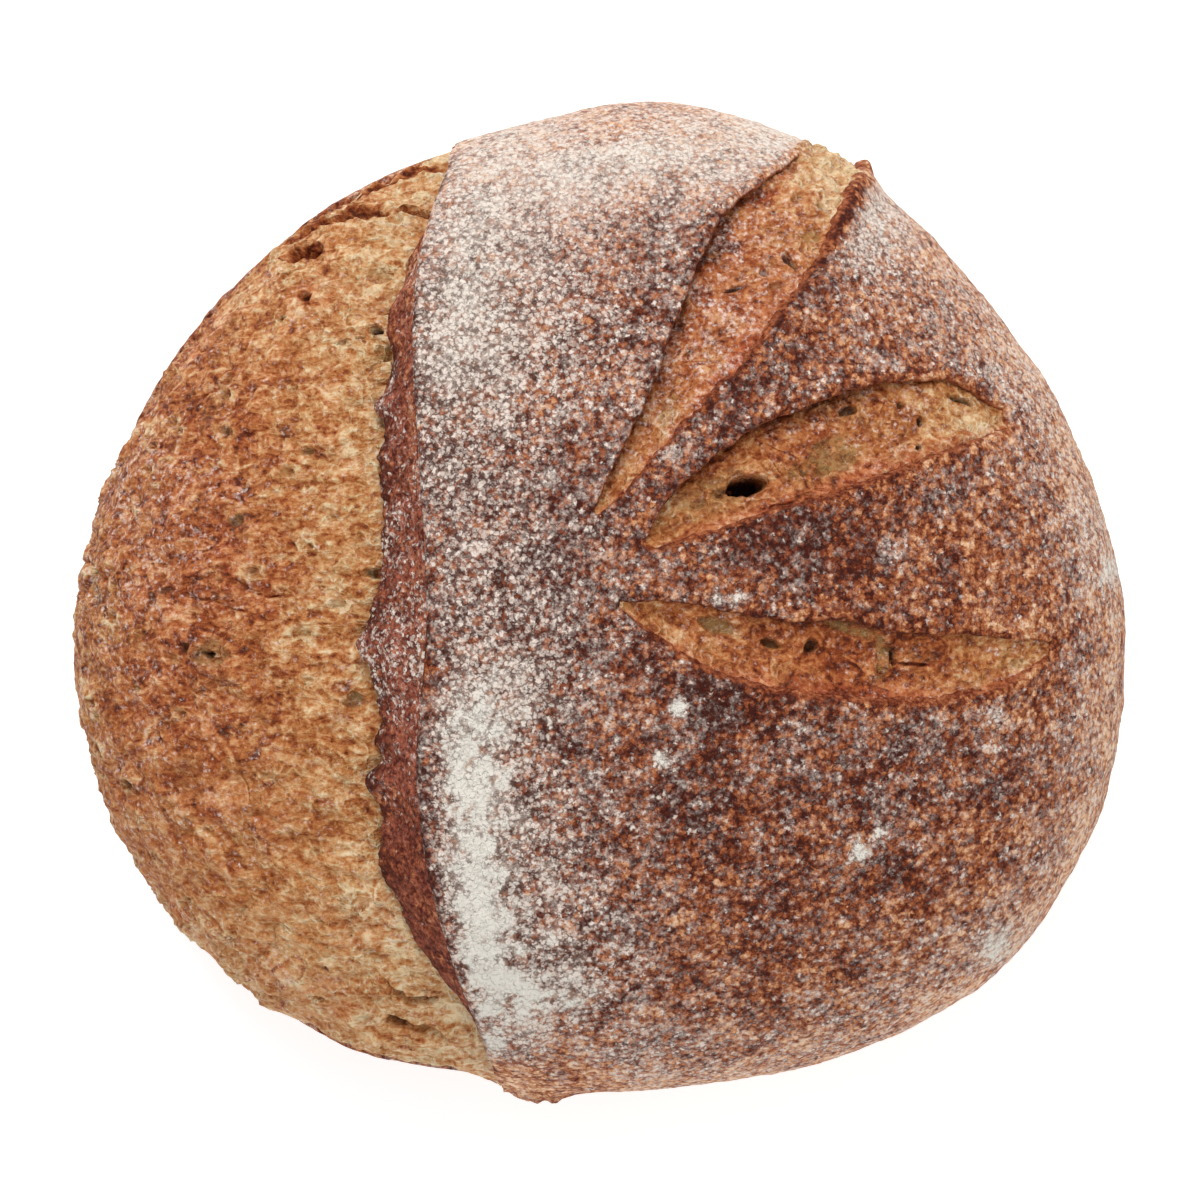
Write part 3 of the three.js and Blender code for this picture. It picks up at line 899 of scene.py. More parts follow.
class Graph:
    """A material being wired up, in the loaf's own coordinates."""

    def __init__(self, name: str) -> None:
        """Makes an empty material with a Principled shader and its output.

        Args:
            name: The material's name.
        """
        self.material = bpy.data.materials.new(name)
        self.material.use_nodes = True
        self.tree = self.material.node_tree
        self.tree.nodes.clear()
        self.shader = self.tree.nodes.new("ShaderNodeBsdfPrincipled")
        output = self.tree.nodes.new("ShaderNodeOutputMaterial")
        self.tree.links.new(self.shader.outputs[0], output.inputs["Surface"])
        self.places = self.wire("ShaderNodeTexCoord", {}, {}, "Object")

    def join(self, node: bpy.types.Node, sockets: dict) -> None:
        """Links or sets sockets.

        Args:
            node: Whose they are.
            sockets: Wires or values by the sockets' names or numbers.
        """
        for key, value in sockets.items():
            if isinstance(value, Wire):
                self.tree.links.new(value.socket, node.inputs[key])
            else:
                node.inputs[key].default_value = value

    def wire(self, kind: str, settings: dict, sockets: dict, output: str | int = 0) -> Wire:
        """Adds a node.

        Args:
            kind: Its type.
            settings: Its own settings, set first. "stops" gives a ramp's places and colours.
            sockets: Values or wires for its inputs.
            output: Which output is wanted, by name or number.

        Returns:
            The wire from that output.
        """
        node = self.tree.nodes.new(kind)
        for key, value in settings.items():
            if key == "stops":
                elements = node.color_ramp.elements
                while len(elements) < len(value):
                    elements.new(0.5)
                for element, (place, colour) in zip(elements, value):
                    element.position = place
                    element.color = colour
            else:
                setattr(node, key, value)
        self.join(node, sockets)
        return Wire(self, node.outputs[output])

    def vector(self, operation: str, *values: object) -> Wire:
        """A Vector Math node of those operands."""
        return self.wire("ShaderNodeVectorMath", {"operation": operation}, dict(enumerate(values)), "Vector")

    def mark(self, name: str) -> Wire:
        """The piece's vertex attribute of that name."""
        return self.wire("ShaderNodeAttribute", {"attribute_name": name}, {}, "Fac")

    def moved(self, shift: float) -> Wire:
        """The loaf's coordinates moved by shift along all three axes, so that two noises differ."""
        return self.vector("ADD", self.places, (shift,) * 3) if shift else self.places

    def noise(
        self, size: float, detail: float = 2.0, rough: float = 0.5, bend: float = 0.0,
        shift: float = 0.0, pull: Triple | None = None,
    ) -> Wire:
        """Noise around 0, half a unit up and down.

        Args:
            size: Width of its lumps in millimetres.
            detail: How many finer noises are added.
            rough: Their height.
            bend: How much it is bent by itself.
            shift: How far it is moved.
            pull: What the coordinates are multiplied by along each axis, so that it has a grain.

        Returns:
            The noise.
        """
        places = self.vector("MULTIPLY", self.places, pull) if pull else self.moved(shift)
        sockets = {"Scale": 1 / (size * MM), "Detail": detail, "Roughness": rough, "Distortion": bend}
        return self.wire("ShaderNodeTexNoise", {}, {"Vector": places, **sockets}, "Fac") - 0.5

    def strayed(self, size: float, stray: float, detail: float, scale: float, shift: float) -> Wire:
        """The loaf's coordinates with each place moved aside by a noise.

        Args:
            size: Width of the pattern that is to be laid there, in millimetres.
            stray: How far places are moved, as a share of size.
            detail: How many finer noises are added.
            scale: How fine the noise is, 1 for lumps as wide as size.
            shift: How far all places are moved.

        Returns:
            The coordinates.
        """
        spread = {"Vector": self.places, "Scale": scale / (size * MM), "Detail": detail}
        wander = self.wire("ShaderNodeTexNoise", {}, spread, "Color")
        return self.vector("MULTIPLY_ADD", wander, (stray * size * MM,) * 3, self.moved(shift))

    def grains(self, size: float, stray: float, shift: float = 0.0) -> tuple[Wire, Wire]:
        """Irregular grains.

        Args:
            size: Their width in millimetres.
            stray: How far their places stray, as a share of it.
            shift: How far all are moved.

        Returns:
            Distance from a grain's middle as a share of its size, and the grain's own number 0 to 1.
        """
        sockets = {"Scale": 1 / (size * MM), "Vector": self.strayed(size, stray, 1.0, 1.4, shift)}
        distance = self.wire("ShaderNodeTexVoronoi", {"feature": "F1"}, sockets, "Distance")
        tint = Wire(self, distance.socket.node.outputs["Color"])
        return distance, self.wire("ShaderNodeSeparateColor", {}, {0: tint}, "Red")

    def foam(self, size: float, shift: float, pull: Triple = (1.0, 1.0, 1.0)) -> Wire:
        """Thin walls between bubbles, from the distance to the nearest wall.

        Args:
            size: Width of the bubbles in millimetres.
            shift: How far they are moved.
            pull: What their places are multiplied by along each axis, under 1 for long bubbles.

        Returns:
            0 in the bubbles' middles and 1 on their walls.
        """
        places = self.vector("MULTIPLY", self.strayed(size, 1.3, 2.0, 0.6, shift), pull)
        sockets = {"Scale": 1 / (size * MM), "Vector": places}
        away = self.wire("ShaderNodeTexVoronoi", {"feature": "DISTANCE_TO_EDGE"}, sockets, "Distance")
        return 1 - away.over(0.0, 0.26)

    def ramp(self, value: Wire, stops: list[tuple[float, Screen]]) -> Wire:
        """Colours along value, from places 0 to 1 and screen colours."""
        settings = {"stops": [(place, from_screen(colour)) for place, colour in stops]}
        return self.wire("ShaderNodeValToRGB", settings, {"Fac": value}, "Color")

    def mix(self, factor: Wire, *colours: Wire | Screen) -> Wire:
        """Blends two colours, wires or screen colours, by a factor."""
        first, second = (c if isinstance(c, Wire) else from_screen(c) for c in colours)
        return self.wire("ShaderNodeMix", {"data_type": "RGBA"}, {0: factor, 6: first, 7: second}, 2)

    def bump(self, height: Wire, distance: float, strength: float, under: Wire | None = None) -> Wire:
        """Normal of a surface that is raised.

        Args:
            height: How far, in units of distance.
            distance: The unit in millimetres.
            strength: How much of it shows.
            under: A bump that it lies on.

        Returns:
            The normal.
        """
        sockets = {"Height": height, "Distance": distance * MM, "Strength": strength}
        if under:
            sockets["Normal"] = under
        return self.wire("ShaderNodeBump", {}, sockets, "Normal")

    def finish(self, **sockets: object) -> bpy.types.Material:
        """Sets or links the shader's own sockets, with _ for a space, and returns the material."""
        self.join(self.shader, {key.replace("_", " "): value for key, value in sockets.items()})
        return self.material


# ---------------------------------------------------------------- finishes


@dataclass(frozen=True)
class CrustFinish:
    """Baked crust: a mosaic of browns from plum to tan under a thin, grainy film of flour."""

    plum: Screen = (66, 26, 18)
    chestnut: Screen = (112, 52, 30)
    russet: Screen = (160, 91, 54)
    tan: Screen = (203, 145, 102)
    blush: Screen = (232, 194, 160)
    cut_face: Screen = (98, 40, 24)
    cut_glow: Screen = (190, 112, 74)
    dusty: Screen = (112, 92, 78)
    thin_flour: Screen = (226, 210, 198)
    thick_flour: Screen = (227, 221, 210)
    grain: float = 1.5
    speck: float = 1.1
    film_from: float = -0.74
    film_to: float = 0.88
    film_power: float = 1.75
    rough: float = 0.75

    def material(self, name: str) -> bpy.types.Material:
        """Wires the finish, which reads the marks flour, haze, bake and wall.

        Args:
            name: The material's name.

        Returns:
            The material.
        """
        g = Graph(name)
        flour, haze = g.mark("flour"), g.mark("haze")
        distance, number = g.grains(self.grain, 1.0)
        # Gaps between grains, sunk by the bump and painted darker: partly the crust's own plum, partly
        # painted shade.
        gaps = distance.over(0.34, 0.68)
        fine = g.noise(1.0, 2.0, 0.6)
        middle = g.noise(2.4, 3.0, 0.6, shift=0.31)
        patches = g.noise(9.0, 3.0, 0.55, shift=3.3)
        speck, chance = g.grains(self.speck, 1.5, shift=0.9)
        clump = g.noise(3.6, 3.0, 0.65, shift=2.7)
        dust = g.noise(1.1, 2.0, 0.6, shift=1.9)
        slits = speck.over(0.36, 0.64)
        packed = flour.over(-1.6, 0.8)
        # White flecks in the flour film, partly flour and partly painted highlights.
        flour_flecks_and_highlights = (chance + flour * 0.04 + clump * 0.5).over(0.78, 0.92) * (0.46 - speck).over(0.0, 0.16)
        vary = (chance - 0.5) * 0.55 + (0.45 - speck) * 0.5 + clump * (1.5 - flour.over(-1.0, 1.0) * 0.3)
        vary = vary + dust * 1.4 + middle * 0.4 + patches * 0.8
        level = flour * 0.23 + vary * (1 - packed * 0.3 - haze * 0.12) + 0.16
        level = level + packed * (0.06 - slits * (0.48 - haze * 0.16))
        film = (level.over(self.film_from, self.film_to) ** self.film_power + flour_flecks_and_highlights * 0.36).within()
        tone = 0.61 + (number - 0.5) * 0.44 + fine * 1.1 + middle * 0.95 + g.noise(11.0, shift=0.77) * 0.85
        tone = (tone - g.mark("bake") * 0.42 - gaps * 0.22).within()
        browns = (self.plum, self.chestnut, self.russet, self.tan, self.blush)
        crust = g.ramp(tone, list(zip((0.0, 0.26, 0.5, 0.74, 0.97), browns)))
        face = (fine * 1.5 + middle * 1.3 + 0.42).within()
        face = g.ramp(face, [(0.15, self.cut_face), (0.85, self.cut_glow)])
        crust = g.mix(g.mark("wall"), crust, face)
        crust = g.mix(flour.over(-0.3, 2.4) * (0.45 - haze * 0.25), crust, self.dusty)
        colour = g.mix(film, crust, g.mix(flour.over(0.8, 3.2), self.thin_flour, self.thick_flour))
        first = g.bump(gaps * -0.6 + middle * 0.8, 0.5, 0.75)
        normal = g.bump(fine + dust * 0.7 - slits * 0.4, 0.35, 0.8, first)
        rough = film * 0.2 + self.rough
        return g.finish(Base_Color=colour, Roughness=rough, Specular_IOR_Level=0.1, Normal=normal)


@dataclass(frozen=True)
class CrumbFinish:
    """Torn crumb baked in the open: straw where it is sheltered, amber to dark red-brown where it isn't."""

    deep: Screen = (80, 30, 10)
    rust: Screen = (137, 67, 28)
    amber: Screen = (177, 111, 59)
    gold: Screen = (205, 157, 109)
    straw: Screen = (229, 203, 162)
    singed: Screen = (84, 28, 16)
    brick: Screen = (158, 70, 40)
    salmon: Screen = (200, 112, 76)
    rose: Screen = (230, 172, 134)
    glaze: Screen = (156, 122, 74)
    # Colour of the crumb's white flecks, partly flour and partly painted highlights.
    fleck_and_highlight: Screen = (236, 214, 202)
    # Colour of painted shade, in pits, pores and along the cuts' left lips.
    hollow: Screen = (38, 17, 10)
    pull: Triple = (0.6, 1.3, 1.0)
    bubble: float = 2.6
    level: float = 0.465
    contrast: float = 1.0
    fleck_and_highlight_power: float = 1.6
    rough: float = 0.6

    def material(self, name: str) -> bpy.types.Material:
        """Wires the finish, which reads the marks pale, toast, dust, calm, olive and hole.

        Args:
            name: The material's name.

        Returns:
            The material.
        """
        g = Graph(name)
        pale, toast, olive = g.mark("pale"), g.mark("toast"), g.mark("olive")
        distance, number = g.grains(1.3, 1.4)
        fine = g.noise(0.9, 2.0, 0.6)
        strands = g.noise(3.0, 4.0, 0.62, 1.2, pull=self.pull)
        broad = g.noise(9.0, 3.0, 0.55, shift=0.4)
        walls = g.foam(self.bubble, 0.6) * g.noise(2.0, shift=0.2).over(-0.14, 0.1)
        shreds = g.foam(self.bubble, 0.9, self.pull) * g.noise(5.0, shift=0.7).over(-0.12, 0.12)
        froth = (g.noise(6.0, shift=1.1) + pale * 0.1 + olive * 0.3).over(-0.08, 0.2)
        swirl = g.noise(13.0, 1.0, 0.3, 1.0, 0.55)
        arcs = (swirl.over(-0.1, -0.05) - swirl.over(-0.035, 0.0)) * broad.over(-0.04, 0.08)
        crests = swirl.over(-0.02, 0.01) - swirl.over(0.025, 0.08)
        # The tone paints light: the walls of the shreds and froth lighter, as painted highlights; the froth's
        # bubbles and the arcs darker, as painted shade in hollows the bump sinks; the crests beside the arcs
        # lighter, as painted highlights.
        tone = (number - 0.5) * 0.12 + fine * 0.5 + g.noise(1.7, shift=1.5) * 0.45 + strands * 1.35
        tone = tone + broad * 0.65 + shreds * 0.12 - distance.over(0.45, 0.9) * 0.12 - 0.04
        tone = tone * (self.contrast - g.mark("calm") * 0.3) + self.level + pale * 0.2 - toast * 0.12
        tone = (tone + froth * (walls * 0.24 - 0.07) - arcs * 0.17 + crests * 0.1).within()
        crumb = (self.deep, self.rust, self.amber, self.gold, self.straw)
        plain = g.ramp(tone, list(zip((0.08, 0.3, 0.5, 0.72, 0.95), crumb)))
        warm = [(0.08, self.singed), (0.36, self.brick), (0.62, self.salmon), (0.95, self.rose)]
        colour = g.mix((toast * 0.8).within(), plain, g.ramp(tone, warm))
        glazed = (olive * (0.6 + fine * 1.4 + strands * 2.4) + froth * (0.2 + strands)) * (1 - walls * 0.7)
        colour = g.mix((glazed * 0.85).within(), colour, self.glaze)
        speck, chance = g.grains(1.0, 1.3, shift=1.3)
        # White flecks, partly flour and partly painted highlights, most where the dust mark is high.
        flecks_and_highlights = (chance - 0.5) * 0.5 + (0.5 - speck) * 0.5 + fine * 1.3 - strands * 0.5 + broad * 0.6
        flecks_and_highlights = (flecks_and_highlights + g.mark("dust") - 0.5).over(-0.45, 0.6) ** self.fleck_and_highlight_power
        # Painted highlights go on first, then the painted shade mark darkens the colour.
        colour = g.mix(g.mark("hole"), g.mix(flecks_and_highlights, colour, self.fleck_and_highlight), self.hollow)
        first = g.bump(strands + froth * walls * 0.5 - arcs * 0.25, 1.0, 0.75)
        normal = g.bump(fine - distance * 0.6, 0.4, 0.8, first)
        return g.finish(Base_Color=colour, Roughness=self.rough, Specular_IOR_Level=0.15, Normal=normal)


# ---------------------------------------------------------------- the loaf's pieces


@dataclass
class Loaf:
    """The loaf's divided surface, and what all of its pieces share."""

    form: LoafForm = field(default_factory=LoafForm)
    cuts: tuple[Cut, ...] = CUTS
    rows: int = 372
    north_crowding: float = 0.05
    middle_crowding: float = 0.035
    least_face: float = 0.014
    slash_radius: float = 112.0
    foot_tears: float = 0.03
    rim_tears: float = 0.012
    roll_width: float = 1.6
    roll_drop: float = 1.1

    def __post_init__(self) -> None:
        """Finds the rows, the three lines that divide the loaf and the slash's two ends."""
        form = self.form
        share = np.arange(1, self.rows) / self.rows
        crowd = self.north_crowding * np.sin(np.pi * share) + self.middle_crowding * np.sin(2 * np.pi * share)
        self.row = np.pi * (share + crowd)
        self.edge_line = form.line_on_plan(form.ear_edge)
        self.edge = through(*self.edge_line, self.row)
        along = np.stack([self.row * self.slash_radius, 0 * self.row, 0 * self.row], -1)
        ragged = self.foot_tears * fractal(along, 9, 21, 4, 0.7) * form.strength(self.row)
        foot = through(*form.line_on_plan(form.ear_foot), self.row)
        self.foot = np.maximum(foot + ragged, self.edge + self.least_face)
        rim = through(*form.line_on_wall(form.bloom_rim), self.row)
        self.rim = rim + self.rim_tears * fractal(along + np.array([0, 0, 40]), 9, 5, 3)
        poles = [form.bare(np.array(azimuth), np.array(0.0)) for azimuth in (form.south, form.north)]
        self.ends = np.stack([point for point, _ in poles])

    def columns(self, start: Array, end: Array, count: int) -> Array:
        """Columns of each row, evenly spaced along the middle row's surface.

        Args:
            start: Each row's first column.
            end: Each row's last column.
            count: How many, with both of them.

        Returns:
            The columns, (rows, count).
        """
        fine = np.linspace(0, 2 * np.pi, 2000)
        dome = self.form.height - self.form.shoulder
        speed = np.hypot(self.form.half_width * np.sin(fine), dome * np.cos(fine))
        length = np.concatenate([[0], np.cumsum((speed[1:] + speed[:-1]) / 2)])
        first, last = (np.interp(column, fine, length)[:, None] for column in (start, end))
        return np.interp(first + (last - first) * np.linspace(0, 1, count), length, fine)

    def at(self, *columns: Array) -> Spread:
        """The bare surface at every row's columns, given in groups side by side."""
        return self.form.spread(self.row[:, None], np.concatenate(columns, axis=1))

    def to_ear(self, at: Spread) -> Array:
        """Distance in millimetres to the ear's edge, (edge - column)·radius·sin(row)."""
        return (through(*self.edge_line, at.row) - at.column) * self.form.outline(0) * np.sin(at.row)

    def lips(self, at: Spread) -> Lips:
        """What all the cuts together do to the crust."""
        each = [list(vars(cut.lips(at.flat)).values()) for cut in self.cuts]
        return Lips(*(sum(parts) for parts in zip(*each)))

    def lift(self, at: Spread) -> Array:
        """How far the ear lifts the crust, lift·exp(-(distance/reach)²)."""
        return self.form.ear_lift * self.form.strength(at.row) * bell(self.to_ear(at) / self.form.ear_reach)

    def swell(self, at: Spread) -> Array:
        """Slow swells of 30 and 11 mm."""
        return 0.9 * fractal(at.point, 30, 3, 2) + 0.3 * lumps(at.point, 11, 8)

    def crust_height(self, at: Spread) -> Array:
        """Height of the crust over the bare loaf, without the troughs of the cuts.

        It is the ear's lift, the torn tip, the cuts' lips, the swells, and blisters and grain of 5, 2.4 and
        1.4 mm that fade out at the slash's ends. The ear's edge rolls down as (1 - distance/roll_width)².

        Args:
            at: The places.

        Returns:
            Heights in millimetres.
        """
        grain = relief(at.point, 41, (0.24, 5), (0.22, 2.4), (0.14, 1.4))
        height = self.lift(at) + self.form.horn(at.point) + self.lips(at).height
        height = height + smoothstep(0, 10, at.z) * at.calm * (self.swell(at) + grain)
        roll = np.clip(1 - self.to_ear(at) / self.roll_width, 0, 1) * self.form.strength(at.row)
        return height - self.roll_drop * roll**2

    def place(
        self, name: str, rings: Array, marks: dict[str, Array], material: bpy.types.Material,
        ends: Array | None = None, lead: int = 0,
    ) -> None:
        """Makes a piece, dresses it and lets it stand for the loaf's solid.

        Args:
            name: Its name.
            rings: Points in millimetres, (rings, points round, 3).
            marks: Vertex attributes by name, (rings, points round) each or fewer round.
            material: Its material.
            ends: Its two closing points, its end rings' middles unless given.
            lead: How many points round come before the marks' first ones.
        """
        ends = rings[[0, -1]].mean(axis=1) if ends is None else ends
        centre = np.array([*self.form.centre, 0])
        mesh = skin(name, rings - centre, ends - centre, marks, lead)
        turn_outward(mesh)
        mesh.materials.append(material)
        piece = bpy.data.objects.new(name, mesh)
        bpy.context.scene.collection.objects.link(piece)
        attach(piece, "root")
        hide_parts("loaf")
        log.info("%s: %d triangles", name, len(mesh.loop_triangles))


@dataclass
class Coat:
    """Where the crust is floured and how dark it is baked.

    Each flour spot has its place on the plan, its size and its strength. Each dark spot has its place, its
    half axes, its turn in degrees and its strength.
    """

    loaf: Loaf
    flour_spots: tuple[Values, ...] = (
        (16.4, -22.8, 1.9, 6), (28.5, 0.4, 1.8, 5), (24.6, 0.8, 1.5, 4.5), (55.6, -53.4, 2.8, 6),
        (60.5, -50, 2, 4.5), (83.9, -24.7, 3.4, 3.6), (113.3, 6.7, 4, 3), (13, -34.2, 2, 5),
        (87.1, -76.1, 4.5, 3), (15.2, 41.3, 4, 1.6), (106, 18, 9, 1.5), (-14, -83, 3, 2.2),
        (40, -29, 3.5, 2.2), (-3, -84, 4, 1.8), (62.5, 12, 3.6, 2.8), (12, 30, 3, 1.2), (17, -28, 5, 1.5),
        (70, -27, 6, 1.3), (50, -33, 9, 0.5), (10, -95, 6, 1.2), (-26, -26, 6.5, 1.4), (-27, -35, 6, 1.9),
        (-26, -43, 6, 1.6), (-25.8, -50, 5.5, 2.1), (-26, -57, 5.2, 2.4), (-26.2, -63.5, 4.8, 2.6),
        (-25, -69.5, 5, 2.6), (-23.8, -75, 5, 2.6), (-22.5, -80.5, 4.8, 2.6), (-23, -86, 4, 2.6),
        (-15, -82.5, 4.5, 1.2), (-22.5, -94.5, 3, 2.8), (-16.5, -96.5, 2.2, 1.8), (-7, -93, 4, 0.9),
        (0, -101, 5, 1.2), (-16, -46, 12, 1.4), (-7, -60, 11, 1.1), (-6.5, -76, 10, 1.8),
        (-14, -88, 7, 1.1), (-13, -18, 11, 1), (-24, -16, 8, 0.4), (8, -4, 8, 0.8), (82, -38, 9, 0.6),
        (58, 74, 9, 1.6), (8, -78, 6, 0.9), (-22, -30, 9, 0.8), (7, -65, 8, 0.7), (79, 13, 13, -0.6),
        (58, 15, 9, -0.6), (62, 86, 7, 1.2), (29, 86, 7, 0.5), (46.5, 72.5, 2.2, -2.5),
        (49.5, 77.5, 2.2, -4), (52.5, 82.5, 2.4, -5), (55, 87.5, 2.6, -5), (57, 92, 2.8, -5),
        (58.5, 97, 3.4, -5),
    )
    dark_spots: tuple[Values, ...] = (
        (33, 44, 15, 5, 50, 1), (42, 13, 25, 6, 16, 1), (12, 64, 6, 15, -30, 1), (27, -21, 15, 6, -25, 1),
        (-8, 2, 9, 16, 0, 1), (60, -38, 26, 12, 15, 1), (23, -45, 9, 7, 0, 1), (86.5, -43, 7, 5, 0, 1),
        (45, 7, 13, 6.5, 12, 1), (62, -56, 10, 6, 20, 1), (24, -23, 9, 4, -30, 1),
        (53, 83.5, 15, 1.8, 62, 2),
    )
    general_bake: float = 0.3
    spot_bake: float = 0.55

    def marks(self, at: Spread, wall: Array) -> dict[str, Array]:
        """Marks of the crust.

        Args:
            at: The places.
            wall: How much of each is cut or torn face, 0 to 1.

        Returns:
            flour, which is the log-odds of a speck being white, haze, bake and wall.
        """
        form, y = self.loaf.form, at.y
        lips = self.loaf.lips(at)
        away = self.loaf.to_ear(at)
        reach = form.reach(at.flat)
        # Along the ear's edge and the cuts' sharp edges the crust is darker and barer of flour: partly
        # darker-baked edges, partly painted shade.
        edge = bell(away / 1.1) * form.strength(at.row)
        share = np.clip(self.share(at), 0.02, 0.97)
        # Less flour for a few millimetres beside the ear's edge: painted shade of the ear.
        beside = (0.5 + 0.9 * smoothstep(0, -25, y) + 0.9 * bell((y + 11) / 13)) * smoothstep(-92, -82, y)
        odds = np.log(share / (1 - share)) + self.spots(at) - beside * bell(away / 4.5)
        band = steps(away, (0.15, 80, 40), (0.4, 54, 14)) * smoothstep(88, 60, y) * smoothstep(-100, -76, y)
        bake = self.bake(at.flat) + band + 0.3 * (edge + lips.sharp) - 0.06 * smoothstep(60, 85, at.x)
        return {
            "flour": odds - 0.6 * lips.sharp - 3 * lips.torn - 4 * wall - 1.2 * edge,
            "haze": np.maximum(self.far_side(at), 0.6 * smoothstep(0.72, 0.95, reach)),
            "bake": bake - 0.5 * (smoothstep(0.86, 0.98, reach) + lips.torn),
            "wall": wall,
        }

    def far_side(self, at: Spread) -> Array:
        """1 in the crust's far part, left of the upper cut, and 0 elsewhere."""
        return smoothstep(56, 88, at.y) * smoothstep(84, 52, at.x)

    def spots(self, at: Spread) -> Array:
        """Extra log-odds in the loose spots, strength·exp(-(distance/size)²) each, with ragged rims.

        Args:
            at: The places.

        Returns:
            Their sum.
        """
        ragged = relief(at.point, 131, (0.5, 4), (0.5, 2))
        total = np.zeros(at.row.shape)
        for x, y, size, strength in self.flour_spots:
            total += strength * bell(np.maximum(np.hypot(at.x - x, at.y - y) / size + ragged, 0))
        return total

    def share(self, at: Spread) -> Array:
        """Share of the crust that is floured.

        A band lies along the ear, in three lengths with their own profiles across it. The far side is
        floured between the cuts and the rim, and the rim and a patch above the middle cut lightly.

        Args:
            at: The places.

        Returns:
            Shares, about 0 to 1.
        """
        x, y = at.x, at.y
        away = self.loaf.to_ear(at)
        reach = self.loaf.form.reach(at.flat)
        north = smoothstep(20, 55, y)
        south = smoothstep(-12, -34, y)
        band = north * (0.12 + steps(away, (0.24, 80, 45), (0.36, 57, 27), (-0.05, 14, 2)))
        band += (1 - north) * (1 - south) * (0.1 + steps(away, (0.1, 60, 30), (0.22, 42, 18), (0.08, 14, 4)))
        band += south * (0.12 + steps(away, (0.14, 60, 22), (0.24, 26, 10)))
        band = band * (1 - 0.35 * smoothstep(-88, -100, y))
        band = band + 0.14 * smoothstep(34, 14, away) * smoothstep(-96, -80, y)
        far = 0.86 * self.far_side(at) * (1 - 0.42 * smoothstep(-10, 20, x) * smoothstep(96, 78, y))
        corner = 0.44 * smoothstep(-12, -26, x) * smoothstep(84, 95, y)
        far = far * (1 - 0.16 * smoothstep(10, 30, x) - corner)
        far = far * (1 - 0.5 * smoothstep(0.86, 0.96, reach) * smoothstep(40, 0, x))
        rim = (0.26 + 0.1 * smoothstep(-30, -80, y)) * smoothstep(0.8, 0.95, reach) * smoothstep(-8, 12, x)
        patch = 0.24 * bell((x - 86) / 28) * bell((y - 50) / 30)
        tip = 1 - 0.6 * smoothstep(-96, -104, y) * smoothstep(10, -4, x)
        return (np.maximum(band, far) + (rim + patch) * (1 - 0.6 * far)) * smoothstep(6, 26, at.z) * tip

    def bake(self, flat: Array) -> Array:
        """How dark the crust is baked: a general level and bells in the dark spots.

        Args:
            flat: Plan points, (..., 2).

        Returns:
            Levels, about 0 to 1.
        """
        total = np.full(flat.shape[:-1], self.general_bake)
        for x, y, half_length, half_width, turn, strength in self.dark_spots:
            along, aside = turned(flat, (x, y), turn)
            total += self.spot_bake * strength * bell(np.hypot(along / half_length, aside / half_width))
        return total


@dataclass
class Crust:
    """The crust right of the ear, down its wall and under it to the base's middle."""

    loaf: Loaf
    coat: Coat
    finish: bpy.types.Material
    top_columns: int = 228
    wall_columns: int = 26
    base_columns: int = 8
    wall_end: float = math.pi / 4 + 0.25
    tuck: Triple = (1.6, 0, -1.4)
    inward: Triple = (6, 0, 0)

    def build(self) -> None:
        """Makes it, crust_height high less the troughs under the cuts, whose sides the cuts' lips cover."""
        loaf, level = self.loaf, np.zeros_like(self.loaf.edge)
        top = loaf.columns(level, loaf.edge, self.top_columns)[:, ::-1]
        wall = -loaf.columns(level, level + self.wall_end, self.wall_columns)[:, 1:]
        base = wall[:, -1:] - np.linspace(0, 1, self.base_columns + 1)[1:] * (np.pi / 2 + wall[:, -1:])
        at = loaf.at(top, wall, base)
        trough = loaf.lips(at).trough
        rings = raised(at.point, at.normal, loaf.crust_height(at) - trough)
        tuck = rings[:, :1] + np.array(self.tuck) * loaf.form.strength(at.row[:, :1])[..., None]
        inner = (tuck + rings[:, -1:]) / 2 + np.array(self.inward)
        marks = self.coat.marks(at, smoothstep(0.15, 1.2, trough))
        rings = np.concatenate([tuck, rings, inner], axis=1)
        loaf.place("crust", rings, marks, self.finish, loaf.ends, lead=1)


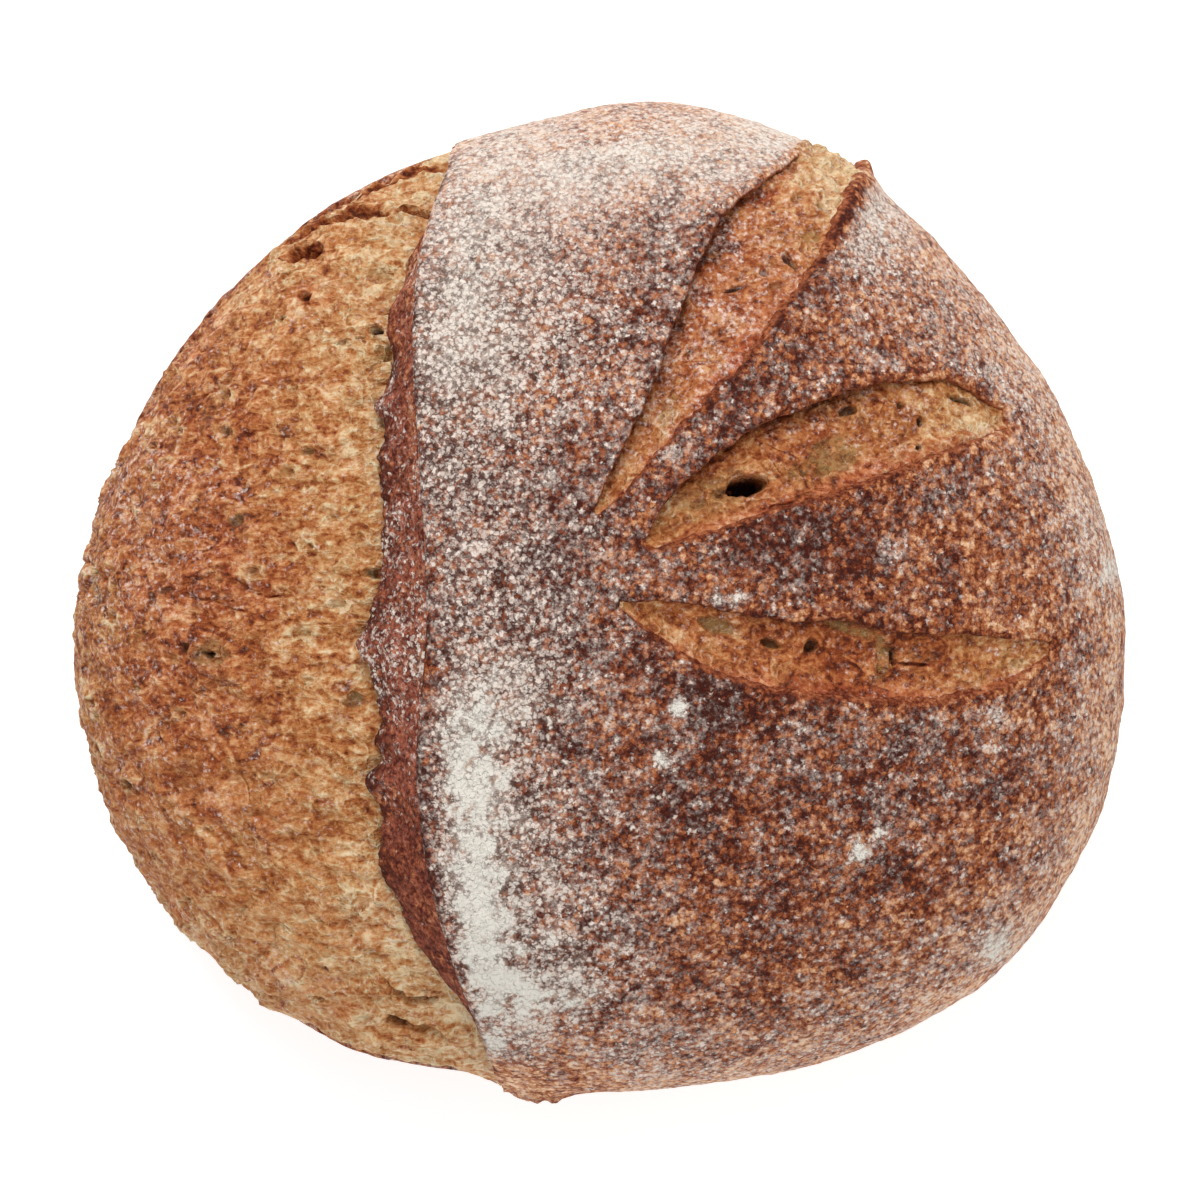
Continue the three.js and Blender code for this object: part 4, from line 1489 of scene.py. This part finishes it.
@dataclass
class EarFace:
    """The ear's cut face, from under the crust's edge down to its ragged foot."""

    loaf: Loaf
    finish: bpy.types.Material
    columns: int = 24
    brow: float = 1.3
    tuck: Triple = (1.2, 0, -0.4)
    under: Triple = (1, 0, -1.3)
    back: Triple = (6, 0, -2)

    def build(self) -> None:
        """Makes it.

        Its height runs from lift to -drop as share^0.85 of its width, with tears of 6, 2.8 and 1.4 mm, and
        its foot turns in under itself.
        """
        loaf, form = self.loaf, self.loaf.form
        share = np.linspace(0, 1, self.columns)
        at = loaf.at(loaf.edge[:, None] + (loaf.foot - loaf.edge)[:, None] * share)
        top = form.ear_lift - self.brow
        level = (top - (form.ear_drop + top) * share**0.85) * form.strength(at.row)
        tears = at.calm * relief(at.point, 51, (1.1, 6), (1.0, 2.8), (0.6, 1.4))
        tears = tears * np.sin(np.pi * np.clip(share + 0.12, 0, 1))
        rings = raised(at.point, at.normal, level + tears + form.horn(at.point))
        open_by = form.strength(at.row[:, :1])[..., None]
        rings[:, :1] += np.array(self.tuck) * open_by
        turned_in = [rings[:, -1:] + np.array(way) * open_by for way in (self.under, self.back)]
        rings = np.concatenate([rings, *turned_in], axis=1)
        patches = smoothstep(-0.1, 0.5, lumps(at.point, 14, 61))
        near, far = smoothstep(-20, -60, at.y), smoothstep(40, 75, at.y)
        # Whiter flecks in patches and across the middle, partly flour and partly painted highlights.
        white = 1.3 * patches * smoothstep(-60, -20, at.y) + 1.4 * bell((at.y + 8) / 18)
        wall = 0.45 + 0.4 * smoothstep(-0.3, 0.4, lumps(at.point, 9, 62))
        marks = {
            "flour": white - 1.1 - 1.9 * near - 1.7 * far,
            "haze": np.full(at.row.shape, 0.3),
            "bake": 0.42 + 0.6 * smoothstep(0.3, 1, share) * smoothstep(75, 45, at.y) + 0.25 * (near - far),
            "wall": wall - 0.3 * smoothstep(0.5, 1, share),
        }
        loaf.place("ear_face", rings, marks, self.finish, loaf.ends)


@dataclass(frozen=True)
class Tears:
    """How the bloom is torn: shreds, pores, rings round them and black pores, 0 to 1, and the placed pits."""

    shreds: Array
    pore: Array
    ring: Array
    # Painted shade in the deepest pores.
    black: Array
    pits: Hollows


@dataclass
class Bloom:
    """The torn crumb from under the ear's foot down to the low crust's rim."""

    loaf: Loaf
    finish: bpy.types.Material
    pits: tuple[Pit, ...] = BLOOM_PITS
    columns: int = 170
    overlap: float = 0.02
    pull: Triple = (0.62, 1.15, 1.0)
    pore_spacing: float = 5.5
    lowest: float = 0.4

    def tears(self, at: Spread) -> Tears:
        """The bloom's shreds, where a noise crosses zero, its round pores and its placed pits.

        Args:
            at: The places.

        Returns:
            The tears.
        """
        point, pulled = at.point, at.point * np.array(self.pull)
        shreds = smoothstep(0.2, 0.02, np.abs(lumps(pulled, 7.5, 87) + 0.3 * lumps(point, 3, 88)))
        away, owner = nearest_seed(pulled, self.pore_spacing, 81)
        away = away / (0.1 + 0.26 * owner**2)
        chosen = (owner > 0.4) * smoothstep(-0.5, 0, lumps(point, 26, 84))
        pore = smoothstep(1, 0.55, away) * chosen
        return Tears(
            shreds * smoothstep(-0.3, 0.2, lumps(point, 18, 89)),
            pore,
            bell((away - 1.15) / 0.3) * chosen,
            # Painted shade in a few of the pores.
            0.5 * pore * (owner > 0.93),
            sunk(self.pits, at.flat, relief(point, 85, (0.3, 2.6), (0.15, 1.2))),
        )

    def height(self, at: Spread, share: Array, tears: Tears) -> Array:
        """Height over the bare loaf.

        It starts sink deep and comes up as (1 - share)^1.7, swells in the middle, steps down at the low
        crust's rim, and is torn by crags of 16, 6, 2.6 and 1.4 mm and long cracks.

        Args:
            at: The places.
            share: How far each lies from the ear's foot, 0, to the rim, 1.
            tears: The tears there.

        Returns:
            Heights in millimetres.
        """
        form, point = self.loaf.form, at.point
        pulled = point * np.array(self.pull)
        sink = form.bloom_sink * form.strength(at.row) * (1 - share) ** 1.7
        swell = form.bloom_swell * np.sin(np.pi * share**0.8) * np.sin(at.row)
        ledge = form.rim_ledge * (smoothstep(0.5, 1, share) + smoothstep(0.985, 1, share))
        crags = 1.5 * fractal(pulled, 16, 71, 2) + 1.2 * fractal(pulled, 6, 73, 2)
        crags += relief(point, 75, (0.5, 2.6), (0.28, 1.4))
        cracks = bell(lumps(pulled, 9, 77) / 0.09) * smoothstep(0, 0.5, lumps(point, 30, 79))
        torn = 0.6 * tears.shreds - 1.2 * cracks - 1.1 * tears.pore + 0.3 * tears.ring + tears.pits.rim
        return swell - sink - ledge + at.calm * (crags + torn) - tears.pits.depth + form.horn(point)

    def marks(self, at: Spread, share: Array, from_ear: Array, tears: Tears) -> dict[str, Array]:
        """Marks of the bloom's crumb.

        Args:
            at: The places.
            share: How far each lies from the ear's foot, 0, to the rim, 1.
            from_ear: The same in millimetres.
            tears: The tears there.

        Returns:
            pale, toast, dust, calm, olive and hole.
        """
        x, y, pits, ring = at.x, at.y, tears.pits, tears.ring
        pale = 0.75 * (bell(from_ear / 22) + smoothstep(35, 82, y)) + 0.825 * smoothstep(-40, -85, y)
        pale += 0.25 * bell((x + 52) / 24) * bell((y - 34) / 26)
        pale += 0.6 * smoothstep(0.6, 0.95, share) * smoothstep(0, -30, y) + 1.2 * ring + 0.4 * tears.shreds
        toast = 0.45 * smoothstep(10, 50, from_ear) * bell((y - 2) / 52) * smoothstep(-118, -92, x)
        toast += 0.2 * smoothstep(0.1, 0.6, lumps(at.point, 14, 83))
        # dust: white flecks on the crumb, partly flour and partly painted highlights.
        dust = 0.08 + 0.1 * smoothstep(20, 80, from_ear) * smoothstep(70, 20, y) + 0.1 * ring
        return {
            "pale": np.clip(pale, 0, 1.6) * (1 - pits.rust) - 0.9 * pits.rust,
            "toast": np.clip(toast * (1 - ring) + 0.3 * pits.rust, 0, 1.2),
            "dust": dust - 0.4 * pits.rust + 0.12 * smoothstep(30, 70, from_ear) * bell((y - 18) / 18),
            "calm": smoothstep(-5, -45, y) * smoothstep(-60, -80, x + 0.2 * y),
            "olive": np.clip(0.5 * tears.pore + pits.olive, 0, 1),
            # Painted shade in the black pores and the pits' dark bottoms.
            "hole": np.maximum(tears.black, pits.dark),
        }

    def build(self) -> None:
        """Makes it, and never lets it touch the floor."""
        loaf, foot = self.loaf, self.loaf.foot[:, None]
        at = loaf.at(loaf.columns(loaf.foot - self.overlap, loaf.rim + self.overlap, self.columns))
        share = np.clip((at.column - foot) / (loaf.rim[:, None] - foot), 0, 1)
        from_ear = (at.column - foot) * loaf.form.half_width * np.sin(at.row)
        tears = self.tears(at)
        rings = raised(at.point, at.normal, self.height(at, share, tears))
        rings[..., 2] = np.maximum(rings[..., 2], self.lowest)
        loaf.place("bloom", rings, self.marks(at, share, from_ear, tears), self.finish, loaf.ends)


@dataclass
class LowCrust:
    """The crust under the bloom, from its torn ledge down the wall to the base's middle."""

    loaf: Loaf
    finish: bpy.types.Material
    wall_columns: int = 60
    base_columns: int = 8
    wall_end: float = 1.25 * math.pi + 0.1
    thickness: float = 4.0
    ledge_drop: float = 0.5
    upward: Triple = (0, 0, 3)
    seam_width: float = 22.0

    def build(self) -> None:
        """Makes it, with swells of 20 mm and grain of 5 and 2.2 mm, blended into the crust at their seam."""
        loaf, form = self.loaf, self.loaf.form
        wall = loaf.columns(loaf.rim, np.full_like(loaf.rim, self.wall_end), self.wall_columns)
        base = wall[:, -1:] + np.linspace(0, 1, self.base_columns + 1)[1:] * (1.5 * np.pi - wall[:, -1:])
        at = loaf.at(wall, base)
        grain = relief(at.point, 91, (0.6, 20), (0.25, 5), (0.2, 2.2))
        height = smoothstep(0, 8, at.z) * at.calm * grain + form.horn(at.point)
        height[:, 0] -= self.ledge_drop
        rings = raised(at.point, at.normal, height)
        inside = rings[:, :1] - at.normal[:, :1] * self.thickness
        closing = (rings[:, -1:] + inside) / 2 + np.array(self.upward)
        seam = bell(form.half_width * np.cos(at.column) * np.sin(at.row) / self.seam_width)
        marks = {
            "flour": -3.5 + (1.6 + 0.9 * seam) * smoothstep(4, 30, at.z),
            "haze": 0.6 * seam,
            "bake": 0.1 - 0.3 * seam,
            "wall": 0.3 - 0.3 * seam,
        }
        rings = np.concatenate([inside, rings, closing], axis=1)
        loaf.place("low_crust", rings, marks, self.finish, loaf.ends, lead=1)


@dataclass
class CutPieces:
    """The crumb laid bare in one cut and the crust along its two edges.

    skirt is how far outside the edge the points of a lip's profile lie, and skirt_drop how far under the
    crust's surface the first of them are. nose and nose_drop carry the left profile on over the edge,
    and fold turns it back below, in shares of the cut's under.
    """

    loaf: Loaf
    coat: Coat
    cut: Cut
    crust_finish: bpy.types.Material
    crumb_finish: bpy.types.Material
    step: float = 0.45
    columns: int = 72
    tucked_left: float = 1.8
    tucked_right: float = 1.2
    thickness: float = 12.0
    skirt: Values = (7.5, 6.2, 5.4, 4.6, 3.8, 3.1, 2.4, 1.8, 1.2, 0.7, 0.3)
    skirt_drop: Values = (1.4, 0.35, -0.1, -0.12, -0.12, -0.12, -0.12, -0.12, -0.1)
    nose: Values = (0, -0.2, -0.3, -0.2)
    nose_drop: Values = (-0.05, 0.02, 0.15, 0.4, 0.8, 1.3)
    fold: Values = (0.3, 0.8, 1.4, 5.5)

    def crumb(self) -> None:
        """Makes the crumb, a little wider than the cut so that its sides lie under the crust.

        It lies crumb_depth under the smooth crust, with relief of 5, 2.3 and 1.2 mm and the cut's pits.
        """
        loaf, cut = self.loaf, self.cut
        share = np.linspace(0.004, 0.996, int(cut.length / self.step))[:, None]
        left, right = cut.edges(share)
        width = left - right + self.tucked_left + self.tucked_right
        aside = right - self.tucked_right + width * np.linspace(0, 1, self.columns)
        share = np.broadcast_to(share, aside.shape)
        across = cut.across(share, aside)
        at = loaf.form.spread_plan(cut.plan(share, aside))
        ended = cut.end_lip > 0
        grain = relief(at.point, 101, (0.75, 5), (0.6, 2.3), (0.3, 1.2))
        grain = grain * (1 + 0.8 * ended * smoothstep(0.6, 0.9, share))
        pits = sunk(cut.pits, at.flat, relief(at.point, 104, (0.2, 2), (0.1, 1)))
        height = loaf.lift(at) + loaf.swell(at) + grain + 0.7 * cut.end_lip * cut.near_end(share)
        height = height + 0.5 * pits.rim - pits.depth - cut.crumb_depth(share, aside)
        rings = raised(at.point, at.normal, height)
        under = (at.point - at.normal * self.thickness)[:, ::-6]
        flank = 0.65 * (1 - ended * smoothstep(0.4, 0.65, share)) * smoothstep(0.34, 0.05, across)
        # Less pale under the overhanging left lip: painted shade.
        pale = evenly(cut.pale, share) - 0.35 * cut.under * smoothstep(0.65, 1, across)
        thin = cut.healed(share, 0.72, 0.9) * smoothstep(-0.4, 0.3, lumps(at.point, 7, 106))
        marks = {
            "pale": pale + 0.5 * smoothstep(0.45, 0.15, across),
            "toast": np.clip(evenly(cut.toast, share) + flank + pits.rust, 0, 1.2),
            # dust: white flecks on the crumb, partly flour and partly painted highlights.
            "dust": evenly(cut.dust, share),
            "olive": pits.olive + 0.35 * thin,
            # Painted shade in the pits' dark bottoms, and a painted shadow line under the left lip.
            "hole": np.maximum(pits.dark, 0.45 * smoothstep(0.93, 1, across) * (1 - cut.healed(share))),
        }
        rings = np.concatenate([rings, under], axis=1)
        loaf.place(cut.name + "_cut_crumb", rings, marks, self.crumb_finish)

    def profile(self, side: Side, edge: Array, size: Array) -> tuple[Array, Array, Array]:
        """Profile of a lip, from outside the cut over its edge to under the crumb.

        The left one hangs over the crumb by the cut's under. The right one slopes into the cut by
        right_run, as slope^1.6.

        Args:
            side: Which edge.
            edge: Its offsets from the axis, (rings, 1).
            size: How wide the cut is open, 0 to 1, (rings, 1).

        Returns:
            Offsets from the axis, depths under the crust's surface, and how torn the points are, 0 to 1.
        """
        cut = self.cut
        if side is Side.LEFT:
            out = np.array([*self.skirt, *self.nose])
            drop = np.array([*self.skirt_drop, *self.nose_drop])
            back = edge - 0.2 + cut.under * size * np.array(self.fold)
            face = smoothstep(0.15, 0.7, drop) * (out < 0.5)
            down = np.array([*drop, 2, 3.2, 5.5, 7])
            return np.concatenate([edge + out, back], axis=1), down, np.array([*face, 1, 1, 1, 1])
        slope = np.linspace(0, 1, 8)
        flank = edge + cut.right_run * size * np.append(slope, 0.8)
        aside = np.concatenate([edge - np.array(self.skirt), flank, edge - np.array([2, 5.5])], axis=1)
        fall = 0.05 + (cut.rise + 1.2) * slope**1.6
        down = np.array([*self.skirt_drop, -0.06, 0, *fall, cut.rise + 2.6, 5, 6.5])
        face = np.array([*np.zeros(len(self.skirt)), *smoothstep(-0.1, 0.5, slope), 1, 1, 1])
        return aside, down, cut.right_face * face

    def lip(self, side: Side) -> None:
        """Makes the crust along one edge, from outside it to the edge and down its torn face.

        Args:
            side: Which edge.
        """
        loaf, cut = self.loaf, self.cut
        share = np.linspace(-0.012, 1.012, int(cut.length / self.step))[:, None]
        left, right = cut.edges(share)
        size = smoothstep(0, 10, left - right)
        aside, down, face = self.profile(side, left if side is Side.LEFT else right, size)
        at = loaf.form.spread_plan(cut.plan(np.broadcast_to(share, aside.shape), aside))
        torn = face * relief(at.point, 111, (0.35, 2.4), (0.2, 1.2))
        rings = raised(at.point, at.normal, loaf.crust_height(at) - down + torn)
        marks = self.coat.marks(at, np.broadcast_to(face, aside.shape))
        loaf.place(f"{cut.name}_cut_{side.value}_lip", rings, marks, self.crust_finish)


# ---------------------------------------------------------------- the studio


@dataclass
class Studio:
    """Pale floor, soft light from the far side and a camera straight above.

    Each light has its name, its place in metres, its power in watts and its width in metres.
    """

    camera_height: float = 0.865
    lens: float = 110.0
    sensor: float = 36.0
    floor_size: float = 10.0
    floor_gap: float = 0.0004
    floor_glow: float = 0.45
    daylight: float = 0.55
    aim: Triple = (0, 0, 0.05)
    lights: tuple[tuple[str, Triple, float, float], ...] = (
        ("far_light", (-0.15, 1.0, 1.1), 15.0, 0.9),
        ("near_light", (0.4, -1.1, 1.2), 7.0, 1.2),
    )

    def floor(self) -> None:
        """A wide square just under the base."""
        half = self.floor_size / 2
        corners = [(x * half, y * half, -self.floor_gap) for x, y in ((-1, -1), (1, -1), (1, 1), (-1, 1))]
        mesh = bpy.data.meshes.new("floor")
        mesh.from_pydata(corners, [], [(0, 1, 2, 3)])
        floor = bpy.data.objects.new("floor", mesh)
        bpy.context.scene.collection.objects.link(floor)
        # The floor glows as well: painted light that pales the loaf's shadow on it and lights the loaf from
        # below.
        glow = {"Emission_Color": (1.0, 1.0, 1.0, 1.0), "Emission_Strength": self.floor_glow}
        mesh.materials.append(Graph("floor").finish(Base_Color=(0.9, 0.9, 0.9, 1.0), Roughness=0.9, **glow))

    def hang(self) -> None:
        """Hangs square, soft lights, aimed at the loaf."""
        for name, place, power, size in self.lights:
            data = bpy.data.lights.new(name, "AREA")
            data.energy = power
            data.size = size
            lamp = bpy.data.objects.new(name, data)
            lamp.location = place
            lamp.rotation_euler = (Vector(self.aim) - Vector(place)).to_track_quat("-Z", "Y").to_euler()
            bpy.context.scene.collection.objects.link(lamp)

    def build(self) -> None:
        """Lays the floor, hangs the lights and sets the camera."""
        scene = bpy.context.scene
        self.floor()
        self.hang()
        world = bpy.data.worlds.new("studio")
        world.use_nodes = True
        background = world.node_tree.nodes["Background"].inputs
        background["Color"].default_value = (1.0, 1.0, 1.0, 1.0)
        background["Strength"].default_value = self.daylight
        scene.world = world
        scene.view_settings.view_transform = "Standard"
        data = bpy.data.cameras.new("camera")
        data.lens = self.lens
        data.sensor_width = self.sensor
        camera = bpy.data.objects.new("camera", data)
        x, y = LoafForm.centre
        camera.location = (-x * MM, -y * MM, self.camera_height)
        scene.collection.objects.link(camera)
        scene.camera = camera


def build_loaf() -> None:
    """Builds and dresses every piece of the loaf."""
    loaf = Loaf()
    coat = Coat(loaf)
    crust = CrustFinish().material("crust")
    torn_crust = CrustFinish(cut_face=(88, 34, 26), cut_glow=(186, 108, 84), film_from=-0.25, film_to=0.75)
    cut_crumb = CrumbFinish(pull=(0.85, 1.1, 1.0), level=0.43, contrast=0.88).material("cut_crumb")
    Crust(loaf, coat, crust).build()
    EarFace(loaf, torn_crust.material("torn_crust")).build()
    Bloom(loaf, CrumbFinish().material("bloom_crumb")).build()
    LowCrust(loaf, crust).build()
    for cut in loaf.cuts:
        pieces = CutPieces(loaf, coat, cut, crust, cut_crumb)
        pieces.crumb()
        for side in Side:
            pieces.lip(side)


def main() -> None:
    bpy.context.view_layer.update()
    build_loaf()
    Studio().build()


if __name__ == "__main__":
    main()
